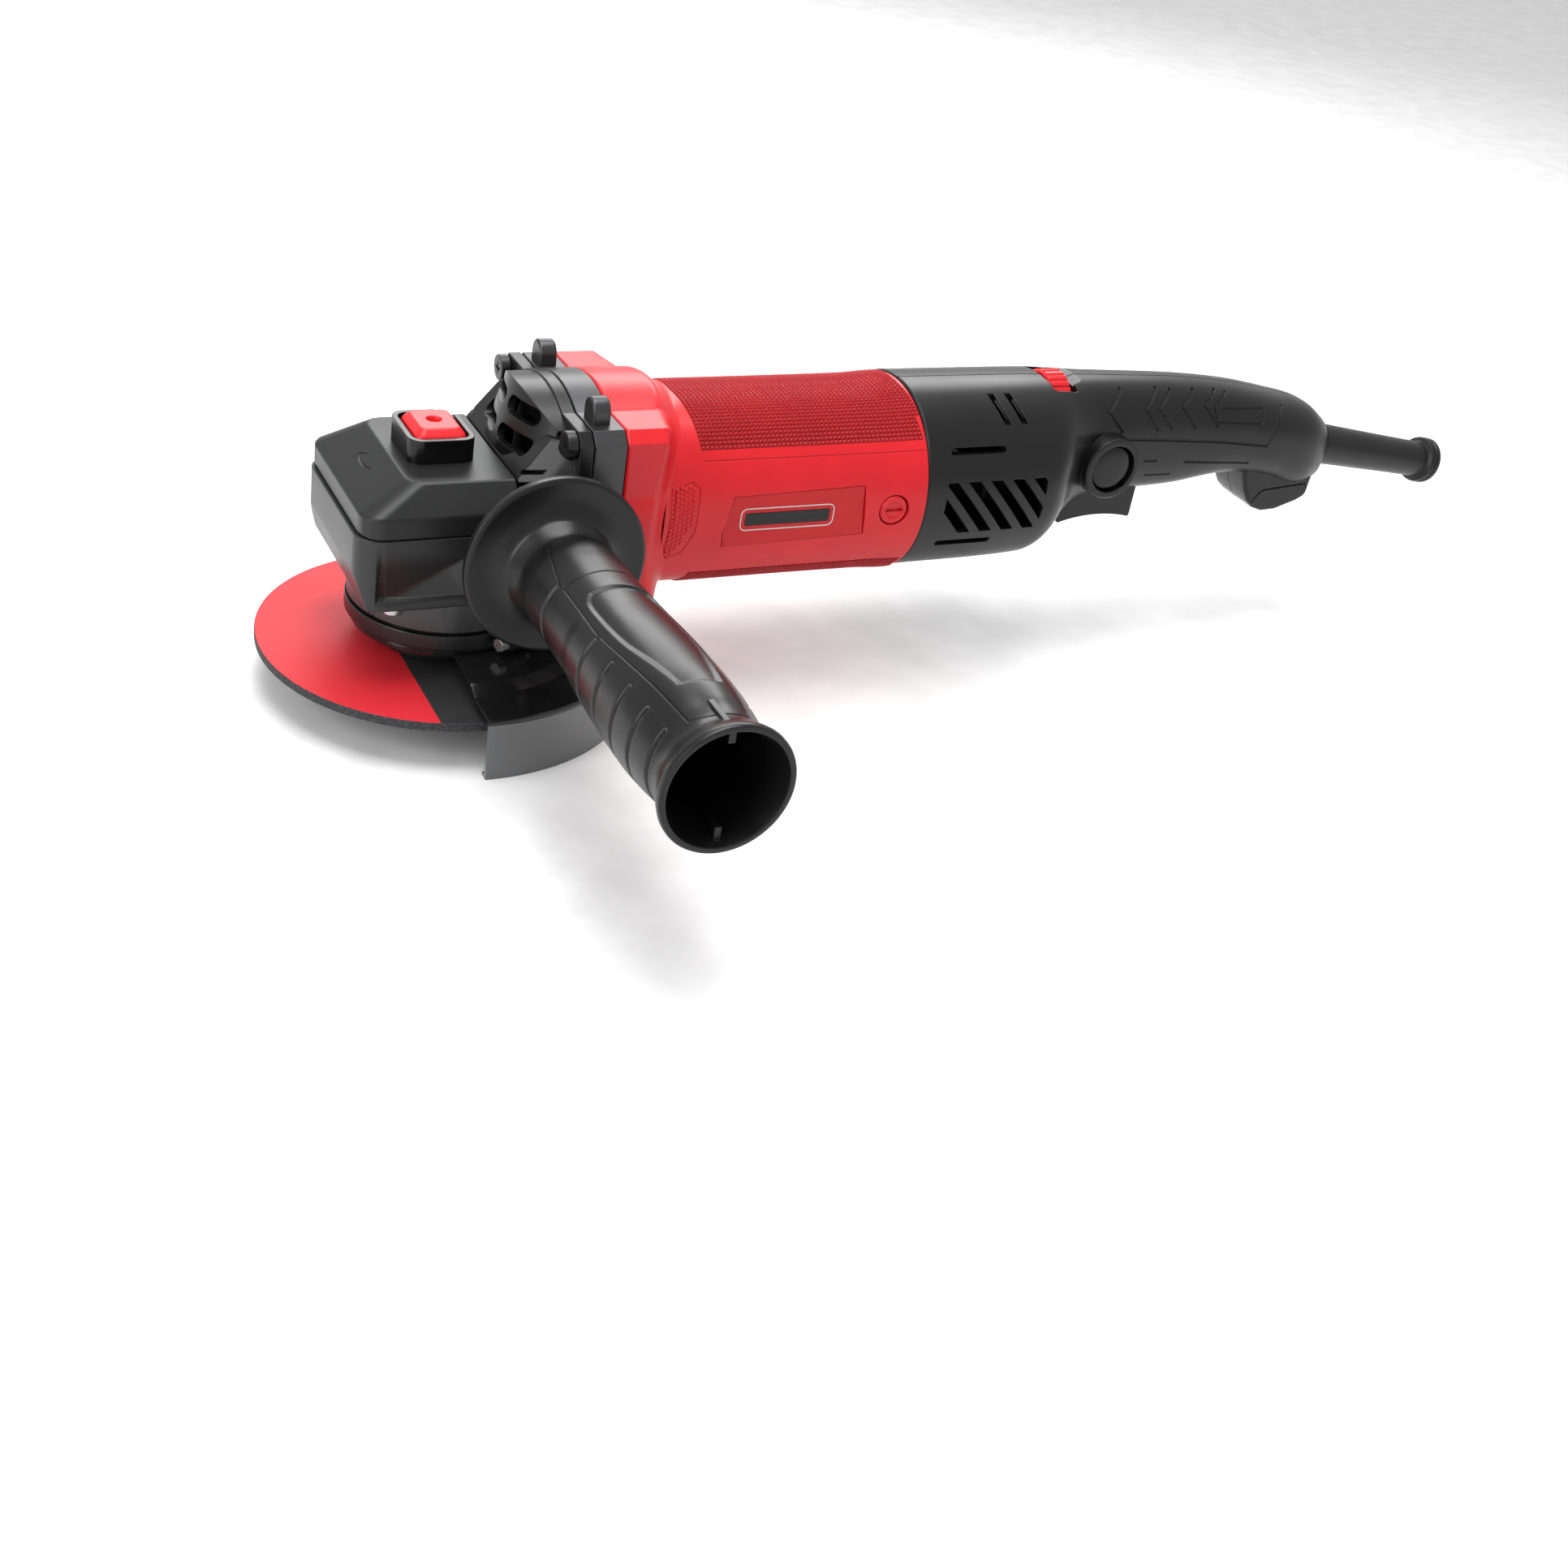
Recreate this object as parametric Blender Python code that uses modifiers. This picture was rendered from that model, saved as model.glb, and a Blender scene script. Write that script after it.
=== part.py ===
"""Angle grinder with a rear trigger handle, modelled as an assembly of separate parts, in metres.

+X runs along the motor axis to the rear handle, -Y to the side handle, +Z up.
The origin is the centre of the spindle's lower end face.
"""

import math

import bmesh
import bpy
from mathutils import Matrix, Vector

# Driving dimensions
DISC_DIAMETER = 0.115
DISC_THICKNESS = 0.003
DISC_TOP_Z = 0.012
MOTOR_Z = 0.0615
SPINDLE_RADIUS = 0.007
HEAD_FRONT_X = -0.036
HEAD_HALF_WIDTH = 0.0315
HEAD_BOTTOM_Z = 0.038
PLATEAU_Z = 0.0765
COVER_REAR_X = 0.0134
FLANGE_FRONT_X = 0.0285
PLATE_FRONT_X = 0.0333
COLLAR_FRONT_X = 0.044
COLLAR_REAR_X = 0.063
COLLAR_RADIUS = 0.037
LUG_HALF_WIDTH = 0.0352
LUG_HALF_HEIGHT = 0.0325
LUG_STEP = 0.0002
FLANGE_BOTTOM_Z = 0.0285
BODY_RADIUS = 0.0316
BODY_REAR_X = 0.155
TAIL_END_X = 0.3465
GRIP_HALF_WIDTH = 0.0165
CAP_RADIUS = 0.0295
GUARD_CLEARANCE = 0.0065
GUARD_RADIUS = DISC_DIAMETER / 2 + GUARD_CLEARANCE
GUARD_EDGE_X = -0.004
GUARD_BOTTOM_Z = -0.0045
HANDLE_X = 0.0183
HANDLE_Z = 0.0593
HANDLE_FLANGE_Y = -0.0495
HANDLE_LENGTH = 0.1252
HANDLE_FLANGE_RADIUS = 0.0285
GEAR_TEETH = 27
PINION_TEETH = 9
GEAR_RADIUS = 0.0215
PINION_RADIUS = 0.0070
CLAMP_ANGLE = math.radians(-62)
PIN_PLACE = (-0.0110, 0.0060)
PIN_RADIUS = 0.0018
BRUSH_X = 0.1435
DIAL_X = 0.218
TRIGGER_PIVOT = (0.226, 0.0, 0.056)
BUTTON_X = 0.2365
BUTTON_Z = 0.0675
BOOT_LENGTH = 0.063
BOOT_DROP = math.radians(9.6)

# Fits and walls
GAP = 0.0003
RUNNING_GAP = 0.0005
WALL = 0.0026
SCREW_RADIUS = 0.0021
CLEARANCE_HOLE = SCREW_RADIUS + GAP
SCREW_Y = 0.0305
SCREW_DZ = 0.028
REACH = 0.2


def clear_scene():
    for obj in list(bpy.data.objects):
        bpy.data.objects.remove(obj)


def new_collection(name):
    collection = bpy.data.collections.new(name)
    bpy.context.scene.collection.children.link(collection)
    return collection


clear_scene()
PARTS = new_collection("angle_grinder")
CUTTERS = new_collection("cutters")
CUTTERS.hide_render = True


def material(name, colour, roughness, metallic=0.0):
    made = bpy.data.materials.new(name)
    made.use_nodes = True
    shader = made.node_tree.nodes["Principled BSDF"]
    shader.inputs["Base Color"].default_value = (*colour, 1.0)
    shader.inputs["Roughness"].default_value = roughness
    shader.inputs["Metallic"].default_value = metallic
    made.diffuse_color = (*colour, 1.0)
    return made


BLACK_PLASTIC = material("black_plastic", (0.03, 0.03, 0.032), 0.45)
RED_PLASTIC = material("red_plastic", (0.72, 0.03, 0.035), 0.35)
HEAD_PAINT = material("head_paint", (0.12, 0.12, 0.125), 0.4, 0.6)
ALUMINIUM = material("aluminium", (0.35, 0.35, 0.36), 0.4, 0.9)
STEEL = material("steel", (0.42, 0.42, 0.43), 0.3, 1.0)
BLACK_STEEL = material("black_steel", (0.04, 0.04, 0.042), 0.3, 0.7)
GUARD_STEEL = material("guard_steel", (0.08, 0.08, 0.082), 0.3, 0.8)
COPPER = material("copper", (0.65, 0.27, 0.12), 0.35, 1.0)
CARBON = material("carbon", (0.05, 0.05, 0.05), 0.6)
RUBBER = material("rubber", (0.02, 0.02, 0.02), 0.6)
DISC_RED = material("disc_red", (0.57, 0.02, 0.03), 0.5)
LABEL_RED = material("label_red", (0.66, 0.02, 0.025), 0.35)


def object_from(name, bm, collection):
    bmesh.ops.recalc_face_normals(bm, faces=bm.faces)
    mesh = bpy.data.meshes.new(name)
    bm.to_mesh(mesh)
    bm.free()
    obj = bpy.data.objects.new(name, mesh)
    collection.objects.link(obj)
    if collection == CUTTERS:
        obj.display_type = "WIRE"
        obj.hide_render = True
    return obj


def box(name, low, high, corner=0.0, axis=2, collection=CUTTERS):
    """A box between two corners, whose edges along one axis can be rounded."""
    bm = bmesh.new()
    bmesh.ops.create_cube(bm, size=1.0)
    low, high = Vector(low), Vector(high)
    bmesh.ops.scale(bm, vec=high - low, verts=bm.verts)
    bmesh.ops.translate(bm, vec=(low + high) / 2, verts=bm.verts)
    if corner:
        along = [e for e in bm.edges if abs((e.verts[0].co - e.verts[1].co).normalized()[axis]) > 0.9]
        bmesh.ops.bevel(bm, geom=along, offset=corner, segments=3, profile=0.5, affect="EDGES")
    return object_from(name, bm, collection)


def rod(name, radius, start, end, segments=20, end_radius=None, collection=CUTTERS):
    """A cylinder or cone between two points."""
    start, end = Vector(start), Vector(end)
    turn = (end - start).to_track_quat("Z", "Y").to_matrix().to_4x4()
    place = Matrix.Translation((start + end) / 2) @ turn
    far = radius if end_radius is None else end_radius
    bm = bmesh.new()
    bmesh.ops.create_cone(
        bm, cap_ends=True, segments=segments, radius1=radius, radius2=far,
        depth=(end - start).length, matrix=place,
    )
    return object_from(name, bm, collection)


def hull(name, points, collection=CUTTERS):
    bm = bmesh.new()
    for point in points:
        bm.verts.new(point)
    made = bmesh.ops.convex_hull(bm, input=bm.verts)
    inside = [v for v in made["geom_interior"] if isinstance(v, bmesh.types.BMVert)]
    bmesh.ops.delete(bm, geom=inside, context="VERTS")
    return object_from(name, bm, collection)


def loft(name, stations, segments=32, collection=CUTTERS):
    """A skin through rounded sections (x, z centre, half width, half height, squareness)."""
    bm = bmesh.new()
    rings = []
    half_step = Matrix.Rotation(math.pi / segments, 4, "Z")
    for x, z, half_width, half_height, squareness in stations:
        ring = bmesh.ops.create_circle(bm, segments=segments, radius=1.0, matrix=half_step)["verts"]
        for vert in ring:
            c, s = vert.co.x, vert.co.y
            across = math.copysign(abs(c) ** (2 / squareness), c) * half_width
            up = math.copysign(abs(s) ** (2 / squareness), s) * half_height
            vert.co = (x, across, z + up)
        rings.append({e for v in ring for e in v.link_edges})
    for first, second in zip(rings, rings[1:]):
        bmesh.ops.bridge_loops(bm, edges=list(first | second))
    bmesh.ops.holes_fill(bm, edges=[e for e in bm.edges if e.is_boundary])
    return object_from(name, bm, collection)


def turned(name, profile, centre=(0, 0, 0), axis="Z", steps=24, collection=CUTTERS):
    """A profile of (radius, height) turned about an axis, with a Screw modifier."""
    closed = profile[0][0] > 0 and profile[-1][0] > 0
    mesh = bpy.data.meshes.new(name + "_profile")
    count = len(profile)
    edges = [(i, (i + 1) % count) for i in range(count if closed else count - 1)]
    mesh.from_pydata([(r, 0.0, h) for r, h in profile], edges, [])
    shape = bpy.data.objects.new(name + "_profile", mesh)
    bpy.context.scene.collection.objects.link(shape)
    screw = shape.modifiers.new("turn", "SCREW")
    screw.steps = steps
    screw.render_steps = steps
    screw.use_merge_vertices = True
    screw.merge_threshold = 1e-6
    bpy.context.view_layer.update()
    graph = bpy.context.evaluated_depsgraph_get()
    bm = bmesh.new()
    bm.from_mesh(shape.evaluated_get(graph).to_mesh())
    bpy.data.objects.remove(shape)
    bmesh.ops.remove_doubles(bm, verts=bm.verts, dist=1e-6)
    turn = {"Z": Matrix(), "X": Matrix.Rotation(math.radians(90), 4, "Y"),
            "-Y": Matrix.Rotation(math.radians(90), 4, "X")}[axis]
    bmesh.ops.transform(bm, matrix=Matrix.Translation(centre) @ turn, verts=bm.verts)
    return object_from(name, bm, collection)


def boolean(target, tool, operation):
    modifier = target.modifiers.new(f"{operation.lower()}_{tool.name}", "BOOLEAN")
    modifier.solver = "EXACT"
    modifier.operation = operation
    modifier.object = tool


def cut(target, *tools):
    for tool in tools:
        boolean(target, tool, "DIFFERENCE")
    return target


def join(target, *tools):
    for tool in tools:
        boolean(target, tool, "UNION")
    return target


def common(target, *tools):
    for tool in tools:
        boolean(target, tool, "INTERSECT")
    return target


def part(obj, look, origin=None):
    """Moves a shape into the parts collection, with its material and its joint's point as its origin."""
    for collection in list(obj.users_collection):
        collection.objects.unlink(obj)
    PARTS.objects.link(obj)
    obj.display_type = "TEXTURED"
    obj.hide_render = False
    obj.data.materials.append(look)
    if origin:
        obj.data.transform(Matrix.Translation(-Vector(origin)))
        obj.location = origin
    return obj


def ring(name, inner, outer, low, high, centre, axis, steps=24):
    profile = [(outer, high), (outer, low), (inner, low), (inner, high)]
    return turned(name, profile, centre, axis, steps)


def upper_half(name, z):
    return box(name, (-REACH, -REACH, z), (2 * REACH, REACH, REACH))


def lower_half(name, z):
    return box(name, (-REACH, -REACH, -REACH), (2 * REACH, REACH, z))


def flange_block(name, front, rear, shrink=0.0):
    """The outline that the head, bearing plate and motor housing share: a round with two square lugs."""
    round_part = rod(name, COLLAR_RADIUS - shrink, (front, 0, MOTOR_Z), (rear, 0, MOTOR_Z), 32)
    half_width, half_height = LUG_HALF_WIDTH - shrink, LUG_HALF_HEIGHT - shrink
    lugs = box(
        name + "_lugs", (front + LUG_STEP, -half_width, MOTOR_Z - half_height),
        (rear - LUG_STEP, half_width, MOTOR_Z + half_height), 0.0035, 0,
    )
    join(round_part, lugs)
    return cut(round_part, lower_half(name + "_floor", FLANGE_BOTTOM_Z))


def screw_places():
    for side in (-1, 1):
        for level in (-1, 1):
            yield side * SCREW_Y, MOTOR_Z + level * SCREW_DZ


def screw_holes(name, radius, front, rear):
    return [
        rod(f"{name}_{i}", radius, (front, y, z), (rear, y, z), 8)
        for i, (y, z) in enumerate(screw_places())
    ]


# Spindle, disc and flanges
def spindle_group():
    lower, upper = 0.0, 0.070
    spindle = turned("spindle", [
        (0, upper), (0.005, upper), (0.005, 0.0575), (SPINDLE_RADIUS, 0.0575),
        (SPINDLE_RADIUS, lower + 0.001), (SPINDLE_RADIUS - 0.001, lower), (0, lower),
    ], steps=20)
    part(spindle, STEEL)
    bore = SPINDLE_RADIUS + GAP
    radius = DISC_DIAMETER / 2
    disc_low = DISC_TOP_Z - DISC_THICKNESS
    part(ring("grinding_disc", 0.01111, radius, disc_low, DISC_TOP_Z, (0, 0, 0), "Z", 48), DISC_RED)
    part(turned("inner_flange", [
        (0.012, 0.0225), (0.012, 0.0185), (0.020, 0.0170), (0.020, DISC_TOP_Z + GAP),
        (bore, DISC_TOP_Z + GAP), (bore, 0.0225),
    ], steps=28), BLACK_STEEL)
    nut = turned("outer_nut", [
        (0.0105, DISC_TOP_Z - GAP), (0.0105, disc_low - GAP), (0.018, disc_low - GAP),
        (0.018, 0.0055), (0.016, 0.0015), (bore, 0.0015), (bore, DISC_TOP_Z - GAP),
    ], steps=24)
    for i in range(4):
        angle = math.radians(45 + 90 * i)
        x, y = 0.0125 * math.cos(angle), 0.0125 * math.sin(angle)
        cut(nut, rod(f"nut_hole_{i}", 0.0022, (x, y, 0.0), (x, y, 0.0045), 8))
    part(nut, BLACK_STEEL)


def toothed_wheel(name, teeth, tip, root, low, high, bore, centre, axis, taper=1.0):
    """A wheel with straight teeth: a fine cone whose every other pair of points is drawn in to the root."""
    bm = bmesh.new()
    depth = high - low
    bmesh.ops.create_cone(
        bm, cap_ends=True, segments=teeth * 4, radius1=tip, radius2=tip * taper, depth=depth
    )
    for vert in bm.verts:
        turn = round(math.atan2(vert.co.y, vert.co.x) / (2 * math.pi) * teeth * 4) % 4
        if turn > 1:
            vert.co.x *= root / tip
            vert.co.y *= root / tip
    turn = Matrix() if axis == "Z" else Matrix.Rotation(math.radians(90), 4, "Y")
    middle = Matrix.Translation((0, 0, (low + high) / 2))
    bmesh.ops.transform(bm, matrix=Matrix.Translation(centre) @ turn @ middle, verts=bm.verts)
    wheel = object_from(name, bm, CUTTERS)
    along = Vector((0, 0, 1)) if axis == "Z" else Vector((1, 0, 0))
    centre = Vector(centre)
    hole = rod(name + "_bore", bore, centre + along * (low - 0.01), centre + along * (high + 0.01), 24)
    return cut(wheel, hole)


def gear_train():
    gear_top = MOTOR_Z - PINION_RADIUS - RUNNING_GAP
    part(toothed_wheel(
        "crown_gear", GEAR_TEETH, GEAR_RADIUS, GEAR_RADIUS - 0.0018, gear_top - 0.0085, gear_top,
        SPINDLE_RADIUS + GAP, (0, 0, 0), "Z", 0.93,
    ), STEEL)
    part(toothed_wheel(
        "pinion", PINION_TEETH, PINION_RADIUS, PINION_RADIUS - 0.0018, 0.0125, 0.0225,
        0.0042 + GAP, (0, 0, MOTOR_Z), "X",
    ), STEEL, (0, 0, MOTOR_Z))


def bearings():
    part(ring("spindle_bearing", SPINDLE_RADIUS + GAP, 0.0155, 0.0275, 0.0365, (0, 0, 0), "Z"), STEEL)
    part(ring("needle_bearing", 0.005 + GAP, 0.0085, 0.0625, 0.0695, (0, 0, 0), "Z", 24), STEEL)
    axis = (0, 0, MOTOR_Z)
    part(ring("front_bearing", 0.006 + GAP, 0.0138, 0.0345, 0.0425, axis, "X"), STEEL)
    part(ring("rear_bearing", 0.004 + GAP, 0.0108, 0.1575, 0.1645, axis, "X"), STEEL)


# Gear head
def head_block(name, low, high, shrink=0.0):
    rear = FLANGE_FRONT_X
    return box(
        name, (HEAD_FRONT_X + shrink, -HEAD_HALF_WIDTH + shrink, low),
        (rear, HEAD_HALF_WIDTH - shrink, high), 0.009 - shrink, 2,
    )


def handle_boss(name, radius, reach):
    inner = 0.026
    return [
        rod(f"{name}_{side}", radius, (HANDLE_X, side * inner, HANDLE_Z), (HANDLE_X, side * reach, HANDLE_Z), 24)
        for side in (-1, 1)
    ]


def gear_case():
    split = MOTOR_Z - GAP / 2
    case = head_block("gear_case", HEAD_BOTTOM_Z, split)
    nose = hull("nose_cutter", [
        (x, y, z) for y in (-REACH, REACH)
        for x, z in ((HEAD_FRONT_X, 0.049), (-0.030, 0.030), (-0.060, 0.030), (-0.060, 0.049))
    ])
    bell = hull("gear_case_bell", [
        (x, side * y, z) for side in (-1, 1) for x, y, z in (
            (0.010, 0.030, split), (0.010, 0.030, 0.039), (FLANGE_FRONT_X, LUG_HALF_WIDTH - 0.0005, split),
            (FLANGE_FRONT_X, 0.033, 0.040), (FLANGE_FRONT_X, 0.020, 0.0385), (0.012, 0.024, 0.039),
        )
    ])
    flange = common(
        flange_block("gear_case_flange", FLANGE_FRONT_X - 0.0002, PLATE_FRONT_X - GAP),
        lower_half("gear_case_flange_half", split),
    )
    cut(case, nose)
    join(case, bell, flange, *handle_boss("case_boss", 0.0105, 0.040))
    gear_room = box("gear_room", (-0.0305, -0.0275, 0.0415), (0.031, 0.0275, 0.08), 0.008, 2)
    rear_room = rod("rear_room", 0.024, (0.020, 0, MOTOR_Z), (0.04, 0, MOTOR_Z), 24)
    spigot_hole = rod("spigot_hole", 0.0205 + GAP, (0, 0, 0.03), (0, 0, 0.05), 24)
    cap_room = rod("cap_room", CAP_RADIUS + RUNNING_GAP, (0, 0, 0), (0, 0, HEAD_BOTTOM_Z - GAP / 2), 32)
    cut(case, cap_room, gear_room, rear_room, spigot_hole, *screw_holes("case_screw", CLEARANCE_HOLE, 0.02, 0.04))
    cut(case, *[
        rod(f"stud_hole_{side}", 0.005 + GAP, (HANDLE_X, side * 0.0285, HANDLE_Z), (HANDLE_X, side * 0.05, HANDLE_Z), 20)
        for side in (-1, 1)
    ])
    cut(case, *[
        rod(f"cap_screw_hole_{i}", CLEARANCE_HOLE, (x, y, 0.03), (x, y, 0.0465), 8)
        for i, (x, y) in enumerate(cap_screw_places())
    ])
    part(case, HEAD_PAINT)


def plateau_hull(name, rear, shrink=0.0):
    wide, narrow = HEAD_HALF_WIDTH - shrink, 0.0250 - shrink
    front = HEAD_FRONT_X + 0.0015 + shrink
    corner = 0.006
    outline = [(front, wide - corner), (front + corner, wide), (rear, wide)]
    top = [(-0.0195 + shrink, narrow - 0.004), (-0.0155 + shrink, narrow), (rear, narrow)]
    low = 0.030 if shrink else MOTOR_Z + GAP / 2
    return hull(name, [
        (x, side * y, z) for side in (-1, 1)
        for points, z in ((outline, low), (outline, 0.0680 - shrink), (top, PLATEAU_Z - shrink))
        for x, y in points
    ])


def button_collar_walls():
    """A U of wall round the lock button, open at the back."""
    outer = box("button_collar_outer", (-0.0165, -0.0125, PLATEAU_Z - 0.0015), (0.0055, 0.0125, 0.0840), 0.004, 2)
    inner = box("button_collar_inner", (-0.0145, -0.0105, 0.0716), (0.0035, 0.0105, 0.09), 0.003, 2)
    back = box("button_collar_back", (-0.002, 0.0075, PLATEAU_Z + GAP), (0.010, 0.02, 0.09))
    return outer, inner, back


def gear_case_cover():
    cover = plateau_hull("gear_case_cover", COVER_REAR_X - GAP)
    outer, inner, back = button_collar_walls()
    join(cover, cut(outer, back))
    cut(cover, plateau_hull("cover_hollow", REACH, WALL))
    tray = box("button_tray", (-0.0160, -0.0121, 0.0703), (0.0050, 0.0121, 0.0752))
    pin_hole = rod("pin_hole", PIN_RADIUS + RUNNING_GAP, (*PIN_PLACE, 0.06), (*PIN_PLACE, 0.08), 12)
    seat = ring("needle_seat", 0.0085 + GAP, 0.0102, 0.0620, 0.0712, (0, 0, 0), "Z", 20)
    join(cover, tray, seat)
    cut(cover, inner)
    cut(cover, *handle_boss("cover_boss_room", 0.0105 + RUNNING_GAP, 0.05))
    cut(cover, pin_hole)
    part(cover, HEAD_PAINT)


def dome_block(name, shrink=0.0):
    """The rounded nose of the vent cover: a round about the motor axis met by a leaning barrel."""
    lean = 0.30
    radius = 0.034
    low, high = MOTOR_Z + (-0.01 if shrink else 0.006), MOTOR_Z + 0.045
    front = 0.0145 + shrink
    level = MOTOR_Z + 0.0154
    foot = Vector((front + radius + lean * (low - level), 0, low))
    head = Vector((front + radius + lean * (high - level), 0, high))
    barrel = rod(name, radius, foot, head, 32)
    around = rod(name + "_round", COLLAR_RADIUS - 0.0005 - shrink, (0, 0, MOTOR_Z), (0.2, 0, MOTOR_Z), 32)
    sides = box(name + "_sides", (0, -0.0225 + shrink, low), (FLANGE_FRONT_X + 0.001 + shrink, 0.0225 - shrink, 0.2))
    return common(barrel, around, sides)


def vent_shell(name, shrink=0.0):
    low = MOTOR_Z + GAP / 2 - (0.02 if shrink else 0)
    rear = FLANGE_FRONT_X + 0.002 if not shrink else FLANGE_FRONT_X + 0.01
    front = COVER_REAR_X + shrink
    points = [
        (front, 0.0312, low), (front, 0.0312, 0.0675), (front, 0.0245, PLATEAU_Z - 0.0005),
        (0.0235, 0.0235, 0.0885), (rear, 0.0300, 0.0885), (rear, 0.0345, 0.0800), (rear, 0.0345, low),
    ]
    squeeze = [(x, y - shrink, z - (shrink if z > 0.065 else 0)) for x, y, z in points]
    return hull(name, [(x, side * y, z) for side in (-1, 1) for x, y, z in squeeze])


def slot(name, centre, length, height):
    """A slot with round ends that runs through the vent cover's front wall."""
    x, y, z = centre
    turns = [math.radians(45 * i) for i in range(8)]
    return hull(name, [
        (x + reach, y + side * length / 2 + height / 2 * math.cos(a), z + height / 2 * math.sin(a))
        for reach in (-0.02, 0.02) for side in (-1, 1) for a in turns
    ])


def vent_cover():
    shell = vent_shell("vent_cover")
    flange = common(
        flange_block("vent_flange", FLANGE_FRONT_X, PLATE_FRONT_X - GAP),
        upper_half("vent_flange_half", MOTOR_Z + GAP / 2),
    )
    join(shell, dome_block("vent_dome"), flange)
    cut(shell, vent_shell("vent_hollow", WALL), dome_block("dome_hollow", WALL))
    cut(shell, rod("vent_throat", 0.0330, (FLANGE_FRONT_X - 0.004, 0, MOTOR_Z), (0.05, 0, MOTOR_Z), 32))
    for row, z, length in ((0, 0.0912, 0.0125), (1, 0.0822, 0.0110)):
        for side in (-1, 1):
            place = (0.010, side * (length / 2 + 0.0035), z)
            cut(shell, slot(f"vent_slot_{row}_{side}", place, length - 0.003, 0.0050))
    cut(shell, *handle_boss("boss_room", 0.0105 + RUNNING_GAP, 0.05))
    cut(shell, *screw_holes("vent_screw", CLEARANCE_HOLE, 0.02, 0.04))
    cut(shell, *screw_holes("head_room", 0.0042 + RUNNING_GAP, 0.015, FLANGE_FRONT_X))
    part(shell, BLACK_PLASTIC)


def bearing_plate():
    rear = COLLAR_FRONT_X - GAP
    plate = flange_block("bearing_plate", PLATE_FRONT_X, rear)
    for side in (-1, 1):
        y = side * 0.0235
        tab = box(f"tab_{side}", (0.0355, y - 0.0042, 0.086), (0.0405, y + 0.0042, 0.1015), 0.0036, 0)
        join(plate, tab)
    cut(plate, rod("fan_eye", 0.0300, (0.0390, 0, MOTOR_Z), (0.05, 0, MOTOR_Z), 28))
    cut(plate, rod("bearing_seat", 0.0138 + GAP, (0.0342, 0, MOTOR_Z), (0.05, 0, MOTOR_Z), 24))
    cut(plate, rod("shaft_eye", 0.0095, (0.03, 0, MOTOR_Z), (0.05, 0, MOTOR_Z), 16))
    for i in range(6):
        angle = math.radians(30 + 60 * i)
        y, z = 0.0215 * math.cos(angle), MOTOR_Z + 0.0215 * math.sin(angle)
        cut(plate, rod(f"air_hole_{i}", 0.0058, (0.03, y, z), (0.05, y, z), 10))
    cut(plate, *screw_holes("plate_screw", CLEARANCE_HOLE, 0.03, 0.05))
    part(plate, ALUMINIUM)


def cap_screw_places():
    for x in (-0.0228, 0.0228):
        for y in (-0.0238, 0.0238):
            yield x, y


def screw(name, place, along, shank, head_radius=0.0042, head_depth=0.0032):
    """A round-headed screw with a cross recess; it points from its head along the given direction."""
    along = Vector(along)
    place = Vector(place)
    body = rod(name, head_radius, place - along * head_depth, place, 14)
    join(body, rod(name + "_shank", SCREW_RADIUS, place - along * 0.001, place + along * shank, 8))
    across = Vector((0, 0, 1)) if abs(along.x) + abs(along.y) > 0.5 else Vector((1, 0, 0))
    for i, arm in enumerate((across, along.cross(across))):
        other = along.cross(arm)
        half = arm * 0.0024 + other * 0.0005
        reach = Vector([abs(v) for v in half]) + Vector([abs(v) for v in along]) * 0.001
        centre = place - along * head_depth
        cut(body, box(f"{name}_recess_{i}", centre - reach, centre + reach))
    return body


def screws():
    for i, (y, z) in enumerate(screw_places()):
        body = screw(f"head_screw_{i + 1}", (FLANGE_FRONT_X - GAP, y, z), (1, 0, 0), 0.027)
        part(body, BLACK_STEEL)
    for i, (x, y) in enumerate(cap_screw_places()):
        body = screw(f"cap_screw_{i + 1}", (x, y, 0.0361), (0, 0, 1), 0.010, 0.0032, 0.0022)
        part(body, STEEL)


def bearing_cap():
    neck = 0.0265
    cap = turned("bearing_cap", [
        (0.0202, 0.0405), (0.0202, HEAD_BOTTOM_Z - GAP), (CAP_RADIUS, HEAD_BOTTOM_Z - GAP),
        (CAP_RADIUS, 0.0270), (neck, 0.0270), (neck, 0.0230), (0.0130, 0.0230),
        (0.0130, 0.0272), (0.0155 + GAP, 0.0272), (0.0155 + GAP, 0.0405),
    ], steps=32)
    plate = box("cap_plate", (-0.0275, -0.0285, 0.0364), (0.0275, 0.0285, HEAD_BOTTOM_Z - GAP), 0.006, 2)
    join(cap, cut(plate, rod("cap_plate_eye", 0.0195, (0, 0, 0.03), (0, 0, 0.045), 24)))
    cut(cap, *[
        rod(f"cap_hole_{i}", CLEARANCE_HOLE, (x, y, 0.03), (x, y, 0.045), 8)
        for i, (x, y) in enumerate(cap_screw_places())
    ])
    part(cap, ALUMINIUM)


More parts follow.
